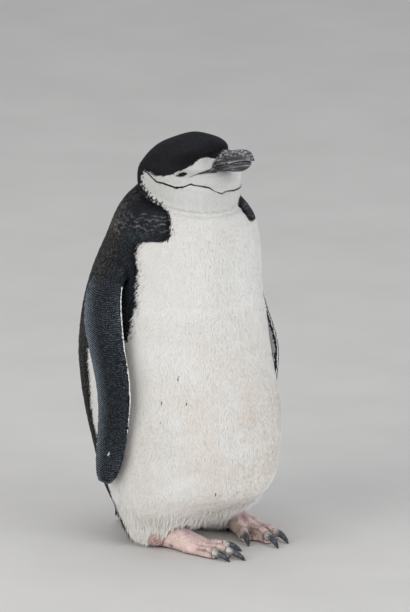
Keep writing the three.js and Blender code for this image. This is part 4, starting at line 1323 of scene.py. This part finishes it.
def billMaterial():
    material, tree, shader = newMaterial(
        "billHorn", Roughness=0.42, Specular_IOR_Level=0.45, Coat_Weight=0.12, Coat_Roughness=0.35)
    colour = addNode(tree, "ShaderNodeAttribute", attribute_name="tint").outputs["Color"]
    place = addNode(tree, "ShaderNodeAttribute", attribute_name="billPlace").outputs["Vector"]
    for along, across, detail, low, high, weight in billSettings["scratches"]:  # they run along the bill
        mapping = addNode(tree, "ShaderNodeMapping")
        mapping.inputs["Scale"].default_value = (along, across, across * 1.3)
        noise = addNode(tree, "ShaderNodeTexNoise", Scale=1.0, Detail=detail, Distortion=0.4)
        tree.links.new(place, mapping.inputs["Vector"])
        tree.links.new(mapping.outputs["Vector"], noise.inputs["Vector"])
        shade = tuple(weight * c + (1 - weight) * 0.02 for c in billSettings["pale"])
        scratch = ramp(tree, noise.outputs["Fac"], [(low, (0, 0, 0)), (high, shade)])
        colour = mixColours(tree, "ADD", 1.0, colour, scratch)
    flakes = addNode(tree, "ShaderNodeTexVoronoi", Scale=billSettings["flakes"])
    tree.links.new(place, flakes.inputs["Vector"])
    fleck = ramp(tree, flakes.outputs["Distance"], [(0.0, (1.25, 1.25, 1.25)), (0.35, (0.82, 0.82, 0.82))])
    tree.links.new(mixColours(tree, "MULTIPLY", 0.7, colour, fleck), shader.inputs["Base Color"])
    addBump(tree, shader, noise.outputs["Fac"], billSettings["bump"], billSettings["bumpDepth"])
    return material


def makeBill(name, node, material):
    s = billSettings
    mesh = remeshed((node,), s["voxel"], s["rounds"])
    place, normal = vertexArrays(mesh)
    along, across, up = inBill(place)
    edge = up - curve(s["upperEdge"], along)
    flute = np.sin(edge * s["flutes"] + 5 * ripple(place, 0.02)) + 0.6 * ripple(place, 0.0035, 2.0)
    flute *= smoothStep(-along, *s["smoothTip"])  # none at the very tip
    reshape(mesh, place + normal * (s["ridges"] * flute)[:, None])
    paintHorn(mesh, node)
    piece = finishPiece(mesh, name, material)
    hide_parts(node)


def paintHorn(mesh, part):
    s, m = billSettings, hornMarks
    place = vertexArrays(mesh)[0]
    along, across, up = inBill(place)
    edge = up - curve(s["upperEdge"], along)
    cutting = hump(edge, *m["cutting"]) * smoothStep(along, *m["cuttingFrom"])
    rim = hump(edge, *m["rim"]) * smoothStep(along, *m["rimFrom"]) * (part == "bill_lower")
    arc = hump(along - 0.1 * (up + 0.008), *m["arc"]) * smoothStep(up, *m["arcLow"])
    arc *= (1 - smoothStep(up, *m["arcHigh"])) * (part != "bill_upper")
    # pale patches over the top and near the tip: worn horn, and along the top also a painted highlight
    wearAndHighlight = np.clip(ripples(place, m["wearAndHighlight"]) + 0.05, 0, 1)
    wearAndHighlight *= smoothStep(up, *m["wearAndHighlightUp"]) + 0.4 * smoothStep(along, *m["wearAndHighlightTip"])
    pale = np.clip(0.5 * cutting + 0.36 * rim + 0.6 * arc + wearAndHighlight, 0, 1)
    # the nostril and the mouth's line are painted dark: painted shade in their hollows
    hole = hump(along, s["nostril"][0], s["nostrilHalf"][0]) * hump(up, s["nostril"][1], s["nostrilHalf"][1])
    mouth = hump(edge, *m["mouth"]) * (1 - smoothStep(along, *m["mouthTo"])) * (part == "gape")
    colours = mixed(s["horn"], s["pale"], pale[:, None])
    paint(mesh, mixed(colours, s["dark"], np.maximum(hole, mouth)[:, None]))
    attribute = mesh.attributes.new("billPlace", "FLOAT_VECTOR", "POINT")
    attribute.data.foreach_set("vector", np.stack([along, across, up], 1).astype(np.float32).ravel())


# Feet: bare wrinkled skin. A toe is how far in its root lies, its turn in degrees and its length.
footSettings = {
    "right": {"forward": 0.112, "left": -0.023, "turnIn": 12.0, "inward": 1,
              "closing": {"inner": 3.5, "outer": 5.6}},
    "left": {"forward": 0.1015, "left": 0.033, "turnIn": 13.0, "inward": -1, "closing": {"inner": -2.9}},
    "length": 0.101, "toeRoot": 0.037, "voxel": 0.0008, "rounds": 6, "wrinkle": 0.00024, "wrinkleGap": 0.0018,
    "toes": {"inner": (0.0095, 20.5, 0.0273), "middle": (0.0, 0.0, 0.044), "outer": (-0.0095, -9.6, 0.0353)},
    "hindTurn": 24.0, "sole": 0.0006, "overFloor": 0.0004, "wrinkleSway": 0.0009, "swaySize": 0.010,
    "peach": linear(241, 223, 218), "mauve": linear(212, 192, 210), "red": linear(200, 160, 156),
    "creaseShade": linear(88, 62, 56), "pale": linear(240, 224, 214), "under": linear(92, 72, 66),
}
footMarks = {  # lines and joints by middle and half width, and from where to where things fade in or out
    "stripe": (0.001, 0.0050), "stripeFrom": (0.0, 0.01), "stripeTo": (0.030, 0.046),
    "toeStripe": (0, 0.0018), "toeStripeFrom": (0.002, 0.012), "toesFrom": (-0.006, 0.003),
    "topFrom": (-0.1, 0.5), "joints": ((0.42, 0.09), (0.9, 0.08)), "nail": (0.93, 0.045),
    "fold": (0.66, 0.03),
    "rough": ((0.5, 0.0042, 1.5), (0.4, 0.0026, 4.0)), "red": 0.016, "pale": 0.009, "heel": 0.012,
    "web": (0.0034, 0.0048), "webFrom": (0.046, 0.056), "underFrom": (-0.0022, -0.0006),
    "dimple": ((0.0153, 0.003), (-0.0117, 0.003), (0.0049, 0.0025)),
}


def inFoot(points, side):  # ahead of the heel, towards the other foot and up, in metres
    s = footSettings[side]
    angle = math.radians(s["turnIn"] * s["inward"])
    forward = axisY - points[:, 1] - s["forward"] + footSettings["length"] * math.cos(angle)
    left = points[:, 0] - axisX - s["left"] + footSettings["length"] * math.sin(angle)
    ahead = forward * math.cos(angle) + left * math.sin(angle)
    return ahead, (left * math.cos(angle) - forward * math.sin(angle)) * s["inward"], points[:, 2]


def toeSplay(side, toe):  # how far a toe turns towards the other foot, in degrees
    s = footSettings
    return s["hindTurn"] if toe == "hind" else s["toes"][toe][1] + s[side]["closing"].get(toe, 0.0)


def onToe(ahead, inner, turn):  # along a toe and across it, from the point that it turns about
    turn = math.radians(turn)
    return ahead * math.cos(turn) + inner * math.sin(turn), inner * math.cos(turn) - ahead * math.sin(turn)


def footMaterial():
    material, tree, shader = newMaterial(
        "footSkin", Roughness=0.55, Specular_IOR_Level=0.4, Subsurface_Weight=0.04)
    shader.inputs["Subsurface Radius"].default_value = (0.004, 0.0015, 0.001)
    place = addNode(tree, "ShaderNodeTexCoord")
    scales = addNode(tree, "ShaderNodeTexVoronoi", Scale=640, feature="DISTANCE_TO_EDGE")
    tree.links.new(place.outputs["Object"], scales.inputs["Vector"])
    net = ramp(tree, scales.outputs["Distance"], [(0.0, (0.74, 0.66, 0.63)), (0.16, (1, 1, 1))])
    drift = ramp(tree, objectNoise(tree, 160, 4.0), [(0.3, (0.86, 0.80, 0.79)), (0.7, (1.06, 1.04, 1.03))])
    tinted(tree, shader, (0.8, net), (1.0, drift))
    addBump(tree, shader, scales.outputs["Distance"], 0.5, 0.0006)
    return material


def makeFoot(side, material):
    s, m = footSettings, footMarks
    mesh = remeshed(("foot_" + side,), s["voxel"], s["rounds"])
    place, normal = vertexArrays(mesh)
    ahead, inner, up = inFoot(place, side)
    stripe = hump(inner, *m["stripe"]) * (1 - smoothStep(ahead, *m["stripeTo"]))
    stripe *= smoothStep(ahead, *m["stripeFrom"])
    nearest, along, reach = np.full(len(place), 9.0), np.zeros(len(place)), np.ones(len(place))
    for toe, (root, _, length) in s["toes"].items():
        a, b = onToe(ahead - s["toeRoot"], inner - root, toeSplay(side, toe))
        closer = np.abs(b) < nearest
        nearest = np.where(closer, np.abs(b), nearest)
        along, reach = np.where(closer, a, along), np.where(closer, length, reach)
        toeStripe = 0.55 * hump(b, *m["toeStripe"]) * smoothStep(a, *m["toeStripeFrom"])
        stripe = np.maximum(stripe, toeStripe)
    share = along / reach
    toes, top = smoothStep(along, *m["toesFrom"]), smoothStep(normal[:, 2], *m["topFrom"])
    wave = along + s["wrinkleSway"] * ripple(place, s["swaySize"])
    wave = np.sin(2 * math.pi * wave / s["wrinkleGap"])
    knuckle = sum(hump(share, *joint) for joint in m["joints"])
    fold = (0.55 * wave * toes * (0.5 + knuckle) + ripples(place, m["rough"])) * (0.35 + 0.65 * top)
    place += normal * (s["wrinkle"] * fold)[:, None]
    flat = np.maximum(place[:, 2], s["overFloor"])
    place[:, 2] = np.where(up < s["sole"], np.minimum(up, s["sole"]), flat)
    reshape(mesh, place)
    red = np.clip(0.35 + 0.7 * ripple(place, m["red"], 1.0), 0, 1) * 0.45 + 0.35 * knuckle * toes
    red = np.clip(red + 0.35 * smoothStep(m["heel"] - ahead, 0, m["heel"]), 0, 0.85) * 0.6
    pale = np.clip(ripple(place, m["pale"], 6.0) - 0.1, 0, 1) * 0.6
    # painted shade: darker in the wrinkles' troughs, in a ring round each claw's root, across the fold of
    # each toe, between the toes and in a dimple on the right foot
    deep = np.clip(-fold - 0.2, 0, 1) * 0.75 + 0.7 * hump(share, *m["nail"]) * toes
    deep += 0.3 * hump(share, *m["fold"]) * toes * top
    deep += 0.5 * smoothStep(nearest, *m["web"]) * top * smoothStep(ahead, *m["webFrom"])
    dimple = [hump(values, *mark) for values, mark in zip((ahead, inner, up), m["dimple"])]
    deep += 0.9 * np.prod(dimple, axis=0) * (side == "right")
    under = smoothStep(-place[:, 2], *m["underFrom"])
    colours = mixed(s["peach"], s["mauve"], stripe[:, None])
    for name, amount in (("red", red), ("pale", pale), ("creaseShade", np.clip(deep, 0, 0.8)), ("under", under)):
        colours = mixed(colours, s[name], amount[:, None])
    paint(mesh, colours)
    foot = finishPiece(mesh, "foot_skin_" + side, material)
    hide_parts("foot_" + side)


# Claws: blunt, hooked, pale at the root.
clawSettings = {
    "voxel": 0.00045, "rounds": 8, "grooves": 0.00004, "grooveTurns": 5200, "overFloor": 0.0002,
    "paleTo": 0.22, "pale": linear(206, 202, 197), "dark": linear(60, 64, 71), "tip": linear(32, 34, 38),
    "flake": linear(140, 140, 138), "ragged": 0.0035, "half": 0.0036, "edgeWaves": 6400, "flakes": 0.0032,
    "paleFade": (-0.22, 0.2), "tipFrom": (0.65, 0.98),
}


def clawMaterial():
    material, tree, shader = newMaterial("clawHorn", Roughness=0.36, Specular_IOR_Level=0.5)
    streak = objectNoise(tree, 260, 4.0, (1.0, 0.25, 1.4))
    tinted(tree, shader, (1.0, ramp(tree, streak, [(0.32, (0.7, 0.7, 0.7)), (0.62, (1.12, 1.12, 1.12))])))
    addBump(tree, shader, streak, 0.4, 0.0003)
    return material


def makeClaw(side, toe, material):
    s = clawSettings
    node = "claw_" + side + "_" + toe
    mesh = remeshed((node,), s["voxel"], s["rounds"])
    place, normal = vertexArrays(mesh)
    ahead, inner, up = inFoot(place, side)
    along, across = onToe(ahead, inner, toeSplay(side, toe))
    across = across - across.mean()
    share = (along - along.min()) / (along.max() - along.min())
    place += normal * (s["grooves"] * np.sin(across * s["grooveTurns"]) * (1 - share))[:, None]
    place[:, 2] = np.maximum(place[:, 2], s["overFloor"])
    reshape(mesh, place)
    edge = s["paleTo"] + 0.09 * ripple(place, s["ragged"]) + 0.10 * np.abs(across) / s["half"]
    edge += 0.05 * np.sin(across * s["edgeWaves"] + 3 * share)
    flake = np.clip(ripple(place, s["flakes"], 2.0) - 0.25, 0, 1) * 0.7
    root = 0.95 * (1 - smoothStep(share, edge + s["paleFade"][0], edge + s["paleFade"][1]))
    colours = s["dark"]
    for name, amount in (("tip", smoothStep(share, *s["tipFrom"])), ("flake", flake), ("pale", root)):
        colours = mixed(colours, s[name], amount[:, None])
    paint(mesh, colours)
    claw = finishPiece(mesh, "claw_horn_" + side + "_" + toe, material)
    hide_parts(node)


makeCamera()
makeLights()
makeFloor()
report("camera, lights and floor")
outlines = {-1: flipperOutline("flipper_right"), 1: flipperOutline("flipper_left")}
whiteFeathers = featherMaterial("whitePlumage", roughness=0.8, sheen=0.12, gloss=0.2, deep=0.06)
blackFeathers = featherMaterial("blackPlumage", roughness=0.55, sheen=0.0, gloss=0.16, deep=0.25)
feathers = {"white_down": whiteFeathers, "black_down": blackFeathers}
makeSkin(whiteFeathers, outlines)
report("skin")
makeBodyCoat(feathers)
report("body feathers")
makeHeadCoat(feathers)
report("head feathers")
makeFlipperCoat("flipper_right", -1, outlines, feathers)
makeFlipperCoat("flipper_left", 1, outlines, feathers)
report("flipper feathers")
makeTail(blackFeathers)
makeCoverts(feathers)
makeHem(feathers)
report("tail and hem")
wet = eyeMaterial()
for side, word in ((-1, "right"), (1, "left")):
    makeEye("eyeball_" + word, side, wet)
    makeLids("lids_" + word, side, wet)
horn = billMaterial()
face = remeshed(("head", "bill_upper", "bill_lower"), gapeSettings["voxel"], gapeSettings["rounds"])
faceTree = surfaceTree(face)
makeGape("gape_right", -1, faceTree, horn)
makeGape("gape_left", 1, faceTree, horn)
makeBillFeathers(feathers)
makeBill("bill_upper_horn", "bill_upper", horn)
makeBill("bill_lower_horn", "bill_lower", horn)
report("eyes and bill")
footSkin = footMaterial()
clawHorn = clawMaterial()
for word in ("right", "left"):
    makeFoot(word, footSkin)
    for toe in ("inner", "middle", "outer", "hind"):
        makeClaw(word, toe, clawHorn)
report("feet and claws")
